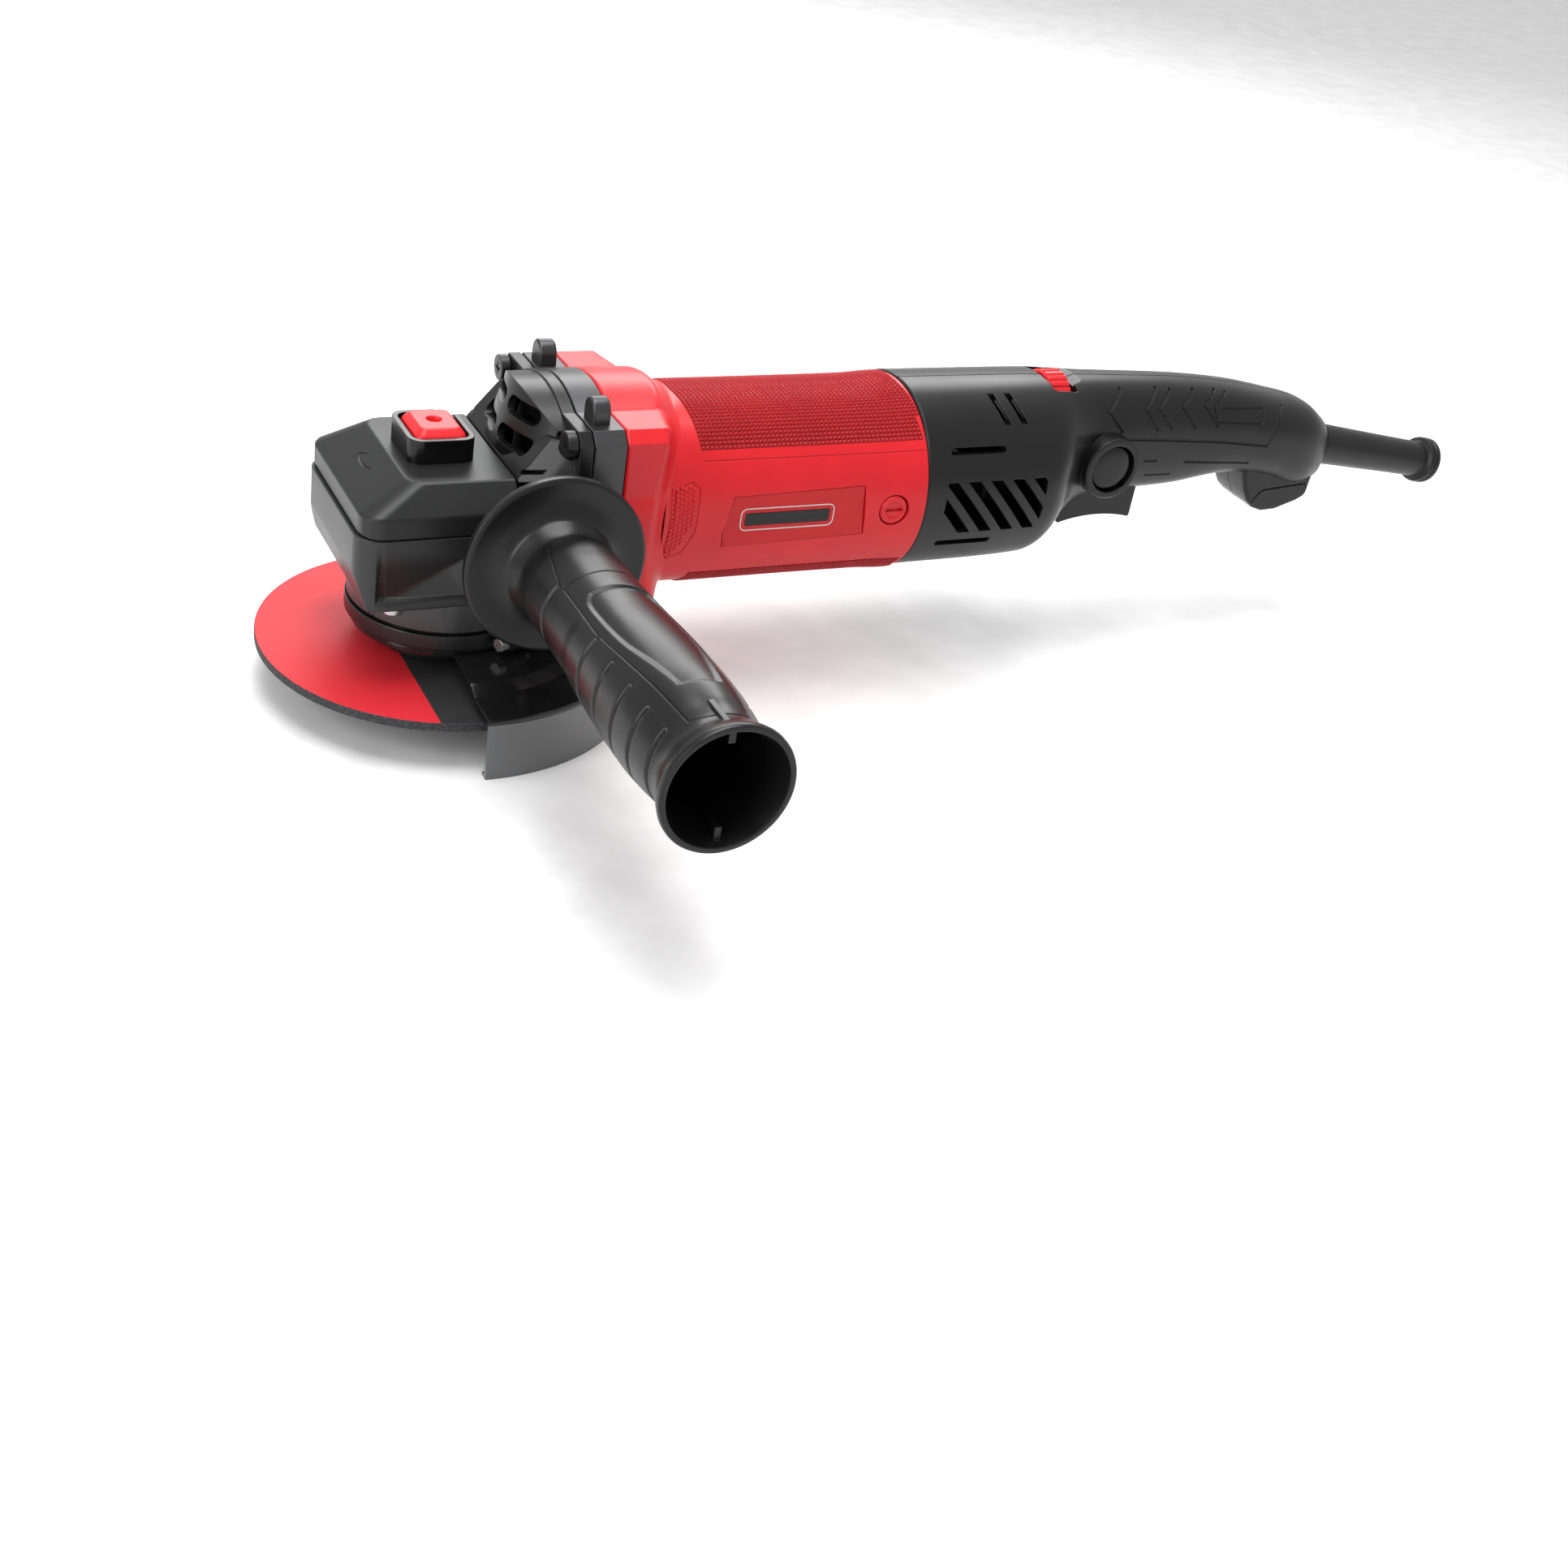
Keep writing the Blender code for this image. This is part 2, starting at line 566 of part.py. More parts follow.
# Guard
def guard():
    thick = 0.0013
    collar = 0.0269
    made = turned("guard", [
        (collar + thick, 0.0267), (collar + thick, 0.0198), (0.0450, 0.0188), (0.0500, 0.0163),
        (GUARD_RADIUS - 0.001, 0.0163), (GUARD_RADIUS, 0.0153), (GUARD_RADIUS, GUARD_BOTTOM_Z),
        (GUARD_RADIUS - 0.003, GUARD_BOTTOM_Z), (GUARD_RADIUS - 0.003, GUARD_BOTTOM_Z + thick),
        (GUARD_RADIUS - thick, GUARD_BOTTOM_Z + thick), (GUARD_RADIUS - thick, 0.0150),
        (0.0496, 0.0150), (0.0446, 0.0175), (collar, 0.0185), (collar, 0.0267),
    ], steps=44)
    front = box("guard_front", (-REACH, -REACH, -REACH), (GUARD_EDGE_X, REACH, 0.0198))
    keep_collar = rod("guard_keep", collar + thick + 0.00001, (0, 0, 0.0184), (0, 0, 0.03), 44)
    cut(made, cut(front, keep_collar))
    part(made, GUARD_STEEL)
    band = ring("guard_clamp_band", collar + thick + GAP, 0.0300, 0.0215, 0.0264, (0, 0, 0), "Z", 36)
    outward = Vector((math.cos(CLAMP_ANGLE), math.sin(CLAMP_ANGLE), 0))
    sideways = Vector((-outward.y, outward.x, 0))
    corners = [
        outward * r + sideways * s + Vector((0, 0, z))
        for r in (0.0292, 0.0355) for s in (-0.0045, 0.0045) for z in (0.0215, 0.0264)
    ]
    gap_corners = [
        outward * r + sideways * s + Vector((0, 0, z))
        for r in (0.0270, 0.0400) for s in (-0.0012, 0.0012) for z in (0.01, 0.03)
    ]
    middle = outward * 0.0330 + Vector((0, 0, 0.02395))
    join(band, hull("clamp_ears", corners))
    cut(band, hull("clamp_gap", gap_corners))
    hole = rod("clamp_hole", 0.0018, middle - sideways * 0.01, middle + sideways * 0.01, 12)
    cut(band, hole)
    part(band, BLACK_STEEL)
    head = rod("guard_clamp_screw", 0.0023, middle - sideways * 0.0078, middle - sideways * 0.0048, 16)
    join(head, rod("clamp_shank", 0.0015, middle - sideways * 0.005, middle + sideways * 0.0065, 12))
    part(head, STEEL)


# Spindle lock
def spindle_lock():
    base = 0.0755
    button = box("spindle_lock_button", (-0.0136, -0.0095, 0.0765), (0.0028, 0.0095, 0.0860), 0.0035, 2)
    taper = hull("button_taper", [
        (-0.0054 + sx * half_x, sy * half_y, z) for sx in (-1, 1) for sy in (-1, 1)
        for half_x, half_y, z in ((0.0083, 0.0096, base), (0.0083, 0.0096, 0.0832), (0.0062, 0.0074, 0.0862))
    ])
    common(button, taper)
    cut(button, rod("button_dimple", 0.0020, (-0.0054, 0, 0.0845), (-0.0054, 0, 0.09), 20))
    cut(button, rod("button_pin_bore", PIN_RADIUS + GAP, (*PIN_PLACE, 0.07), (*PIN_PLACE, 0.0815), 12))
    part(button, RED_PLASTIC)
    part(rod("spindle_lock_pin", PIN_RADIUS, (*PIN_PLACE, 0.0590), (*PIN_PLACE, 0.0812), 12), STEEL)


# Motor
def armature():
    axis = (0, 0, MOTOR_Z)
    part(turned("armature_shaft", [
        (0, 0.1680), (0.004, 0.1680), (0.004, 0.1560), (0.006, 0.1560), (0.006, 0.0230),
        (0.0042, 0.0230), (0.0042, 0.0118), (0, 0.0118),
    ], axis, "X", 20), STEEL, axis)
    bore = 0.006 + GAP
    core = ring("armature_core", bore, 0.0170, 0.0740, 0.1220, axis, "X", 24)
    part(core, STEEL, axis)
    for name, low, high in (("front_winding", 0.0650, 0.0737), ("rear_winding", 0.1223, 0.1330)):
        part(ring(name, bore, 0.0145, low, high, axis, "X", 24), COPPER, axis)
    part(ring("commutator", bore, 0.0120, 0.1335, 0.1530, axis, "X", 24), COPPER, axis)
    fan = ring("cooling_fan", bore, 0.0100, 0.0480, 0.0595, axis, "X", 20)
    join(fan, ring("fan_disc", 0.0088, 0.0275, 0.0585, 0.0603, axis, "X", 30))
    for i in range(8):
        turn = Matrix.Translation(axis) @ Matrix.Rotation(math.radians(45 * i + 4), 4, "X")
        blade = box(f"fan_blade_{i}", (0.0500, -0.0008, 0.0082), (0.0590, 0.0008, 0.0265))
        blade.data.transform(turn)
        join(fan, blade)
    part(fan, BLACK_PLASTIC, axis)


def stator():
    axis = (0, 0, MOTOR_Z)
    front, rear = 0.0710, 0.1250
    core = ring("stator_core", 0.0235, 0.0283, front, rear, axis, "X", 28)
    for side in (-1, 1):
        z = sorted((MOTOR_Z + side * 0.0130, MOTOR_Z + side * 0.0245))
        pole = box(f"pole_{side}", (front, -0.0110, z[0]), (rear, 0.0110, z[1]))
        join(core, pole)
    cut(core, rod("stator_bore", 0.0178, (0.06, 0, MOTOR_Z), (0.14, 0, MOTOR_Z), 24))
    part(core, STEEL)
    for name, side in (("upper_field_coil", 1), ("lower_field_coil", -1)):
        coil = ring(name, 0.0182, 0.0231, 0.0655, 0.1305, axis, "X", 24)
        z = sorted((MOTOR_Z + side * 0.0012, MOTOR_Z + side * 0.05))
        half = box(name + "_half", (0.0, -0.05, z[0]), (0.2, 0.05, z[1]))
        window = box(name + "_window", (front - GAP, -0.0114, z[0] - 0.001), (rear + GAP, 0.0114, z[1] + 0.001))
        common(coil, half)
        part(cut(coil, window), COPPER)


def brushes():
    for name, side in (("right", -1), ("left", 1)):
        brush_y = sorted((side * 0.0123, side * 0.0205))
        holder_y = sorted((side * 0.0135, side * 0.0270))
        half = 0.0032
        brush = box(
            f"carbon_brush_{name}", (BRUSH_X - half, brush_y[0], MOTOR_Z - half),
            (BRUSH_X + half, brush_y[1], MOTOR_Z + half),
        )
        part(brush, CARBON)
        wall = half + GAP + 0.0012
        holder = box(
            f"brush_holder_{name}", (BRUSH_X - wall, holder_y[0], MOTOR_Z - wall),
            (BRUSH_X + wall, holder_y[1], MOTOR_Z + wall),
        )
        room = half + GAP
        bore = box(
            f"brush_room_{name}", (BRUSH_X - room, -0.05, MOTOR_Z - room), (BRUSH_X + room, 0.05, MOTOR_Z + room),
        )
        part(cut(holder, bore), COPPER)
        cap = rod(
            f"brush_cap_{name}", 0.0050, (BRUSH_X, side * 0.0274, MOTOR_Z), (BRUSH_X, side * 0.0322, MOTOR_Z), 20
        )
        groove = (0.0036, 0.001, 0.0006)
        middle = Vector((BRUSH_X, side * 0.0322, MOTOR_Z))
        cut(cap, box(f"cap_slot_{name}", middle - Vector(groove), middle + Vector(groove)))
        part(cap, RED_PLASTIC)


# Motor housing
def body_stations(shrink=0.0):
    squareness = 2.25
    plain = BODY_RADIUS - shrink
    flare = 0.0330 - shrink
    axis = MOTOR_Z - 0.0002
    return [
        (0.050, axis, plain, plain, squareness), (0.130, axis, plain, plain, squareness),
        (0.143, MOTOR_Z, plain + 0.0006, plain + 0.0006, 2.15), (0.152, MOTOR_Z + 0.0003, flare, flare, 2.05),
        (BODY_REAR_X, MOTOR_Z + 0.0003, flare, flare, 2.05),
    ]


def motor_housing():
    housing = loft("motor_housing", body_stations(), 32)
    join(housing, flange_block("collar", COLLAR_FRONT_X, COLLAR_REAR_X))
    cut(housing, rod("fan_room", 0.0320, (0.04, 0, MOTOR_Z), (0.0605, 0, MOTOR_Z), 32))
    cut(housing, rod("motor_bore", 0.0286, (0.05, 0, MOTOR_Z), (0.2, 0, MOTOR_Z), 32))
    cut(housing, *screw_holes("housing_screw", CLEARANCE_HOLE, 0.04, 0.058))
    for side in (-1, 1):
        cut(housing, rod(
            f"brush_hole_{side}", 0.0050 + GAP, (BRUSH_X, side * 0.02, MOTOR_Z), (BRUSH_X, side * 0.05, MOTOR_Z), 20
        ))
    pocket = box("label_pocket", (0.0830, -0.05, 0.0515), (0.1330, -0.0302, 0.0695))
    cut(housing, pocket)
    part(housing, RED_PLASTIC)
    part(box("label_plate", (0.0833, -0.0309, 0.0518), (0.1327, -0.0305, 0.0692), 0.002, 1), LABEL_RED)


# Rear housing
def rear_stations(shrink=0.0):
    top = [(0.1553, 0.0951), (0.2065, 0.0947), (0.2125, 0.0945), (0.2215, 0.0943), (0.2315, 0.0939), (0.2455, 0.0933),
           (0.275, 0.0918),
           (TAIL_END_X - 0.0465, 0.0890), (TAIL_END_X - 0.0265, 0.0852), (TAIL_END_X - 0.0105, 0.0812),
           (TAIL_END_X, 0.0745)]
    bottom = [0.0290, 0.0301, 0.0328, 0.0412, 0.0482, 0.0506, 0.0518, 0.0552, 0.0530, 0.0480, 0.0500]
    widths = [0.0328, 0.0323, 0.0302, 0.0228, 0.0188, 0.0175, GRIP_HALF_WIDTH, GRIP_HALF_WIDTH, 0.0165, 0.0150, 0.0110]
    made = []
    for (x, high), low, width in zip(top, bottom, widths):
        squareness = 2.1 if x < 0.21 else 2.5
        end = shrink if x == TAIL_END_X else (2 * shrink if x < 0.16 else 0)
        made.append((x - end, (high + low) / 2, width - shrink, (high - low) / 2 - shrink, squareness))
    return made


def pommel(name, shrink=0.0):
    profile = [(-0.0375, 0.058), (-0.0345, 0.050), (-0.0300, 0.0425), (-0.0225, 0.0395), (-0.0155, 0.0400),
               (-0.0035, 0.0445), (-0.0020, 0.056), (-0.0115, 0.065)]
    inner = [(x + (shrink if x < -0.0265 else -shrink), max(z, 0.0395 + 1.4 * shrink)) for x, z in profile]
    return hull(name, [(TAIL_END_X + x, side * (0.0105 - shrink), z) for side in (-1, 1) for x, z in inner])


def rear_shape(name):
    shape = loft(name, rear_stations(), 28)
    hollow = loft(name + "_hollow", rear_stations(WALL), 24)
    join(shape, pommel(name + "_pommel"))
    cut(shape, hollow)
    saddle = ring(name + "_saddle", 0.0108 + GAP, 0.0135, 0.1560, 0.1660, (0, 0, MOTOR_Z), "X")
    rib = box(name + "_rib", (0.1570, -0.0312, MOTOR_Z - 0.0012), (0.1660, 0.0312, MOTOR_Z + 0.0012))
    cut(rib, rod(name + "_rib_eye", 0.0120, (0.15, 0, MOTOR_Z), (0.17, 0, MOTOR_Z), 24))
    join(shape, saddle, rib)
    trigger_room = box(name + "_trigger_room", (0.2285, -0.0088, 0.0), (0.2640, 0.0088, 0.062))
    pivot_room = box(name + "_pivot_room", (0.2190, -0.0088, 0.050), (0.2300, 0.0088, 0.062))
    boot_hole = rod(
        name + "_boot_hole", 0.0070, (TAIL_END_X - 0.0265, 0, 0.0676), (TAIL_END_X + 0.0135, 0, 0.0608), 20
    )
    cut(shape, trigger_room, pivot_room, boot_hole)
    dial_room = box(name + "_dial_room", (DIAL_X - 0.0050, -0.0115, 0.070), (DIAL_X + 0.0050, 0.0115, 0.12))
    cut(shape, dial_room)
    return shape


def side_vents(name, side):
    """The air openings of one half: a slanted grille, slots along it and two slits near the top."""
    tools = []
    reach = sorted((side * 0.0240, side * 0.05))
    for i in range(5):
        x = 0.1621 + 0.0088 * i
        slot = hull(f"{name}_grille_{i}", [
            (x + dx + lean, y, z) for y in reach for dx in (0.0, 0.0048)
            for lean, z in ((0.0, 0.0700), (0.0178, 0.0510))
        ])
        common(slot, box(f"{name}_field_{i}", (0.1630, -0.06, 0.0480), (0.2034, 0.06, 0.0730)))
        tools.append(slot)
    for level, z in ((0, 0.0785), (1, 0.0455)):
        tools.append(box(f"{name}_slot_{level}", (0.1640, reach[0], z), (0.1860, reach[1], z + 0.0022)))
    high = sorted((side * 0.0120, side * 0.04))
    for i in range(2):
        x = 0.1830 + 0.0068 * i
        tools.append(hull(f"{name}_slit_{i}", [
            (x + dx + lean, y, z) for y in high for dx in (0.0, 0.0026) for lean, z in ((0, 0.096), (0.004, 0.086))
        ]))
    return tools


def rear_housing():
    for name, side in (("right", -1), ("left", 1)):
        half = rear_shape(f"rear_housing_{name}")
        span = sorted((side * GAP / 2, side * 0.1))
        common(half, box(f"{name}_side", (0.1, span[0], -0.1), (0.5, span[1], 0.3)))
        cut(half, *side_vents(name, side))
        if side < 0:
            raised = rod("lock_ring", 0.0112, (BUTTON_X, -0.0238, BUTTON_Z), (BUTTON_X, -0.0170, BUTTON_Z), 24)
            hole = rod(
                "lock_hole", 0.0083 + RUNNING_GAP, (BUTTON_X, -0.05, BUTTON_Z), (BUTTON_X, -0.0125, BUTTON_Z), 24
            )
            cut(join(half, raised), hole)
        part(half, BLACK_PLASTIC)


# Controls
def controls():
    pivot = Vector(TRIGGER_PIVOT)
    trigger = box("trigger", (0.2290, -0.0080, 0.0395), (0.2617, 0.0080, 0.0560), 0.0, 2)
    belly = rod("trigger_belly", 0.060, (0.2470, -0.05, -0.0178), (0.2470, 0.05, -0.0178), 72)
    cut(trigger, belly)
    arm = hull("trigger_arm", [
        (x, side * 0.0080, z) for side in (-1, 1)
        for x, z in ((0.2235, 0.0535), (0.2235, 0.0585), (0.2285, 0.0600), (0.2330, 0.0560), (0.2330, 0.0520), (0.2295, 0.0500))
    ])
    join(trigger, arm)
    cut(trigger, rod("pivot_eye", 0.0015 + GAP, pivot - Vector((0, 0.02, 0)), pivot + Vector((0, 0.02, 0)), 16))
    part(trigger, BLACK_PLASTIC, TRIGGER_PIVOT)
    part(rod("trigger_pin", 0.0015, pivot - Vector((0, 0.0085, 0)), pivot + Vector((0, 0.0085, 0)), 14), STEEL)
    part(box("switch_body", (0.2340, -0.0090, 0.0660), (0.2620, 0.0090, 0.0840), 0.001, 2), BLACK_PLASTIC)
    button = turned("lock_on_button", [
        (0, 0.0232), (0.0062, 0.0232), (0.0083, 0.0222), (0.0083, 0.0150), (0, 0.0150),
    ], (BUTTON_X, 0, BUTTON_Z), "-Y", 24)
    part(button, BLACK_PLASTIC, (BUTTON_X, 0, BUTTON_Z))
    dial_z = 0.0848
    dial = turned("speed_dial", [
        (0.0108, -0.0035), (0.0108, 0.0035), (0.0100, 0.0043), (0.0020, 0.0043), (0.0020, -0.0043), (0.0100, -0.0043),
    ][::-1], (DIAL_X, 0, dial_z), "X", 24)
    part(dial, RED_PLASTIC, (DIAL_X, 0, dial_z))
    part(box("speed_controller", (0.1900, -0.0140, 0.0400), (0.2150, 0.0140, 0.0640), 0.001, 2), BLACK_PLASTIC)


# Cable boot
def cable_boot():
    start = Vector((TAIL_END_X + 0.0019, 0, 0.0628))
    along = Vector((math.cos(BOOT_DROP), 0, -math.sin(BOOT_DROP)))
    end = start + along * BOOT_LENGTH
    boot = rod("cable_boot", 0.0066, start - along * 0.013, start + along * 0.004, 20)
    join(boot, rod("boot_taper", 0.0078, start, end, 20, 0.0070))
    join(boot, rod("boot_lip", 0.0090, end - along * 0.0045, end + along * 0.0010, 20))
    cut(boot, rod("boot_bore", 0.0036, start - along * 0.02, end + along * 0.02, 16))
    part(boot, RUBBER)


# Side handle
def side_handle():
    centre = (HANDLE_X, 0, HANDLE_Z)
    flange = -HANDLE_FLANGE_Y
    end = flange + HANDLE_LENGTH
    grip = turned("side_handle_grip", [
        (0.0052 + GAP, 0.0403), (0.0052 + GAP, 0.0900), (0.0140, 0.1060), (0.0148, end - 0.008),
        (0.0175, end + 0.0005), (0.0190, end), (0.0192, end - 0.0015), (0.0184, end - 0.0040), (0.0163, end - 0.0100),
        (0.0170, 0.1560), (0.0180, 0.1430), (0.0178, 0.1240), (0.0166, 0.1020), (0.0159, 0.0800), (0.0158, 0.0640),
        (0.0145, 0.0610), (0.0145, 0.0580), (0.0170, 0.0530), (0.0225, flange + 0.0005), (0.0275, flange + 0.0012),
        (HANDLE_FLANGE_RADIUS, flange), (HANDLE_FLANGE_RADIUS, flange - 0.0020), (0.0270, flange - 0.0028),
        (0.0150, flange - 0.0030), (0.0130, 0.0403),
    ], centre, "-Y", 28)
    part(grip, BLACK_PLASTIC)
    part(rod("side_handle_stud", 0.0050, (HANDLE_X, -0.0290, HANDLE_Z), (HANDLE_X, -0.0890, HANDLE_Z), 20), STEEL)


spindle_group()
gear_train()
bearings()
gear_case()
gear_case_cover()
vent_cover()
bearing_plate()
bearing_cap()
screws()
guard()
spindle_lock()
armature()
stator()
brushes()
motor_housing()
rear_housing()
controls()
cable_boot()
side_handle()
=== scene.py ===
"""Looks for the angle grinder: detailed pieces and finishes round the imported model, in metres.

+X runs along the motor axis to the rear handle, -Y to the side handle, +Z up.
"""

import math

import bmesh
import bpy
from mathutils import Matrix, Vector


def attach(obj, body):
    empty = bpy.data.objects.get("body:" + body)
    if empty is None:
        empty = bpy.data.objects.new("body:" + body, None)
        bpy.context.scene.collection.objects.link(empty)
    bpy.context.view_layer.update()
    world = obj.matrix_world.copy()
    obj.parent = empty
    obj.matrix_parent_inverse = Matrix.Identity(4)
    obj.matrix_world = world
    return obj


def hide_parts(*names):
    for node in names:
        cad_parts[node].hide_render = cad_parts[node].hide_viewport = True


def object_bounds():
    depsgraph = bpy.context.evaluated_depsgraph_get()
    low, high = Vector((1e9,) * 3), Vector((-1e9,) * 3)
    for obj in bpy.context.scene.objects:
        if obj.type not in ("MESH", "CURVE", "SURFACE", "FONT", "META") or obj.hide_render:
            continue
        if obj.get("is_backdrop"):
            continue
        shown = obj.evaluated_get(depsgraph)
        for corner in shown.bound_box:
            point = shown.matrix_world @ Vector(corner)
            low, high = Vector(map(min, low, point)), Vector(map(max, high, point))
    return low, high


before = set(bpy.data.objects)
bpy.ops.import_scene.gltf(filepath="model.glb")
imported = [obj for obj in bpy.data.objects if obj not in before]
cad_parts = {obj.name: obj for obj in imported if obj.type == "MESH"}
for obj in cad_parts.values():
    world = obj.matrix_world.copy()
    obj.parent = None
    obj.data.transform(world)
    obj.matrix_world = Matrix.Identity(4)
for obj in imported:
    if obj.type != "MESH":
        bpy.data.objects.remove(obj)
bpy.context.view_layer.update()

MM = 0.001
MOTOR_Z = 61.5 * MM
HANDLE_X, HANDLE_Z = 18.3 * MM, 59.3 * MM
WALL = 2.6 * MM
SEAM = 0.15 * MM
FAR = 0.5


# Finishes
class Value:
    """A number or colour that changes over a surface; its arithmetic adds Math nodes."""

    def __init__(self, finish, socket):
        self.finish, self.socket = finish, socket

    def math(self, operation, first, second=0.0):
        return self.finish.node("Math", {"operation": operation}, {0: first, 1: second})

    def __add__(self, other):
        return self.math("ADD", self, other)

    def __sub__(self, other):
        return self.math("SUBTRACT", self, other)

    def __rsub__(self, other):
        return self.math("SUBTRACT", other, self)

    def __mul__(self, other):
        return self.math("MULTIPLY", self, other)

    def __gt__(self, other):
        return self.math("GREATER_THAN", self, other)

    __radd__, __rmul__ = __add__, __mul__


class Finish:
    """A Principled material whose colour, roughness and relief are built up from nodes."""

    def __init__(self, name, colour, roughness, metallic=0.0, coat=0.0, edge=0.5 * MM):
        self.material = bpy.data.materials.new(name)
        self.material.use_nodes = True
        self.tree = self.material.node_tree
        self.tree.nodes.clear()
        result = self.tree.nodes.new("ShaderNodeOutputMaterial")
        self.shader = self.tree.nodes.new("ShaderNodeBsdfPrincipled")
        self.tree.links.new(self.shader.outputs[0], result.inputs["Surface"])
        self.base, self.rough = colour, roughness
        self.set("Base Color", (*colour, 1.0))
        self.set("Roughness", roughness)
        self.set("Metallic", metallic)
        self.set("Coat Weight", coat)
        self.shader.inputs["Coat Roughness"].default_value = 0.12
        self.shader.inputs["Specular IOR Level"].default_value = 0.32
        self.place = self.node("TexCoord", output="Object")
        self.normal = self.node("Bevel", {"samples": 4}, {"Radius": edge}) if edge else None
        if edge:
            self.set("Normal", self.normal)

    def node(self, kind, settings=None, sockets=None, output=0):
        made = self.tree.nodes.new("ShaderNode" + kind)
        for key, value in (settings or {}).items():
            setattr(made, key, value)
        for key, value in (sockets or {}).items():
            self.feed(made.inputs[key], value)
        return Value(self, made.outputs[output])

    def feed(self, socket, value):
        if isinstance(value, Value):
            self.tree.links.new(value.socket, socket)
        else:
            socket.default_value = value

    def set(self, socket, value):
        self.feed(self.shader.inputs[socket], value)

    def noise(self, scale, detail=2.0, stretch=None):
        place = self.place
        if stretch:
            place = self.node("Mapping", {}, {"Vector": place, "Scale": stretch})
        return self.node("TexNoise", {}, {"Vector": place, "Scale": scale, "Detail": detail})

    def axis(self, index):
        return self.node("SeparateXYZ", {}, {0: self.place}, index)

    def blend(self, mask, first, second):
        return self.node("Mix", {"data_type": "RGBA"}, {0: mask, 6: first, 7: second}, 2)

    def relief(self, height, distance):
        sockets = {"Height": height, "Distance": distance, "Strength": 1.0}
        if self.normal:
            sockets["Normal"] = self.normal
        self.normal = self.node("Bump", {}, sockets)
        self.set("Normal", self.normal)

    def shade(self, mask, darker, lighter):
        """Varies the base colour between two multiples of it."""
        dark = tuple(c * darker for c in self.base) + (1.0,)
        light = tuple(min(1.0, c * lighter) for c in self.base) + (1.0,)
        self.set("Base Color", self.blend(mask, dark, light))


def moulded(name, colour, roughness, grain=0.010 * MM, coat=0.0, scale=2400):
    """Moulded plastic or rubber: a fine spark-eroded grain and slightly uneven gloss."""
    made = Finish(name, colour, roughness, coat=coat)
    fine = made.noise(scale, 2.0)
    broad = made.noise(55, 3.0)
    made.shade(broad, 0.86, 1.12)
    made.set("Roughness", roughness - 0.07 + 0.10 * broad + 0.06 * fine)
    made.relief(fine, grain)
    return made


def metal(name, colour, roughness, metallic=1.0, stretch=(1, 1, 1), scale=1500, grain=0.006 * MM, coat=0.0):
    """Ground, cast or painted metal: grain stretched along the way it was worked."""
    made = Finish(name, colour, roughness, metallic, coat, edge=0.35 * MM)
    fine = made.noise(scale, 3.0, stretch)
    broad = made.noise(70, 3.0)
    made.shade(fine, 0.84, 1.16)
    made.set("Roughness", roughness - 0.08 + 0.10 * fine + 0.08 * broad)
    made.relief(fine, grain)
    return made


BLACK = moulded("satin_black_plastic", (0.0050, 0.0050, 0.0053), 0.30)
GLOSS_BLACK = moulded("smooth_black_plastic", (0.0035, 0.0035, 0.0038), 0.20, 0.003 * MM)
RED = moulded("red_plastic", (0.56, 0.008, 0.014), 0.32, 0.006 * MM)
KNURL_RED = moulded("knurled_red_plastic", (0.36, 0.004, 0.008), 0.40, 0.004 * MM)
BUTTON_RED = moulded("button_red_plastic", (0.64, 0.014, 0.020), 0.30, 0.004 * MM)
LABEL_RED = moulded("label_red", (0.46, 0.002, 0.005), 0.36, 0.002 * MM)
RUBBER = moulded("black_rubber", (0.0050, 0.0050, 0.0053), 0.34, 0.008 * MM)
CARBON = moulded("pressed_carbon", (0.03, 0.03, 0.03), 0.6)
HEAD_PAINT = metal("anthracite_paint", (0.024, 0.0243, 0.025), 0.36, 0.5, scale=2200, grain=0.012 * MM)
CASE_PAINT = metal("grey_casting_paint", (0.034, 0.0343, 0.035), 0.38, 0.5, scale=2200, grain=0.012 * MM)
PLATE_METAL = metal("brushed_plate", (0.060, 0.060, 0.062), 0.34, 0.8, (0.25, 0.25, 6.0), 900)
CAP_METAL = metal("turned_cap", (0.060, 0.060, 0.062), 0.34, 0.8, (1, 1, 5.0), 900)
STEEL = metal("ground_steel", (0.45, 0.45, 0.46), 0.28)
DARK_STEEL = metal("blackened_steel", (0.035, 0.035, 0.036), 0.32, 0.8)
COPPER = metal("copper_wire", (0.70, 0.30, 0.14), 0.34, 1.0, (8, 1, 1), 700)
LIGHT_INK = moulded("pale_ink", (0.60, 0.60, 0.60), 0.5, 0.002 * MM)


def guard_finish():
    """Glossy black sheet steel whose drawn skirt is more matt than its top and painted a lighter grey, as painted light
    for the light its outward face catches.
    """
    made = Finish("guard_paint", (0.020, 0.020, 0.021), 0.12, 0.3, 0.5, edge=0.4 * MM)
    fine = made.noise(1600, 2.0)
    broad = made.noise(40, 3.0)
    skirt = 1.0 - (made.axis(2) > 14.6 * MM)
    # Painted light: the skirt below 14.6 mm gets a lighter grey than the top, for the light it catches. Its greater
    # roughness is the real finish.
    made.set("Base Color", made.blend(skirt, (0.012, 0.012, 0.013, 1), (0.115, 0.117, 0.12, 1)))
    made.set("Roughness", 0.10 + 0.22 * skirt + 0.05 * broad + 0.03 * fine)
    made.relief(fine, 0.003 * MM)
    return made


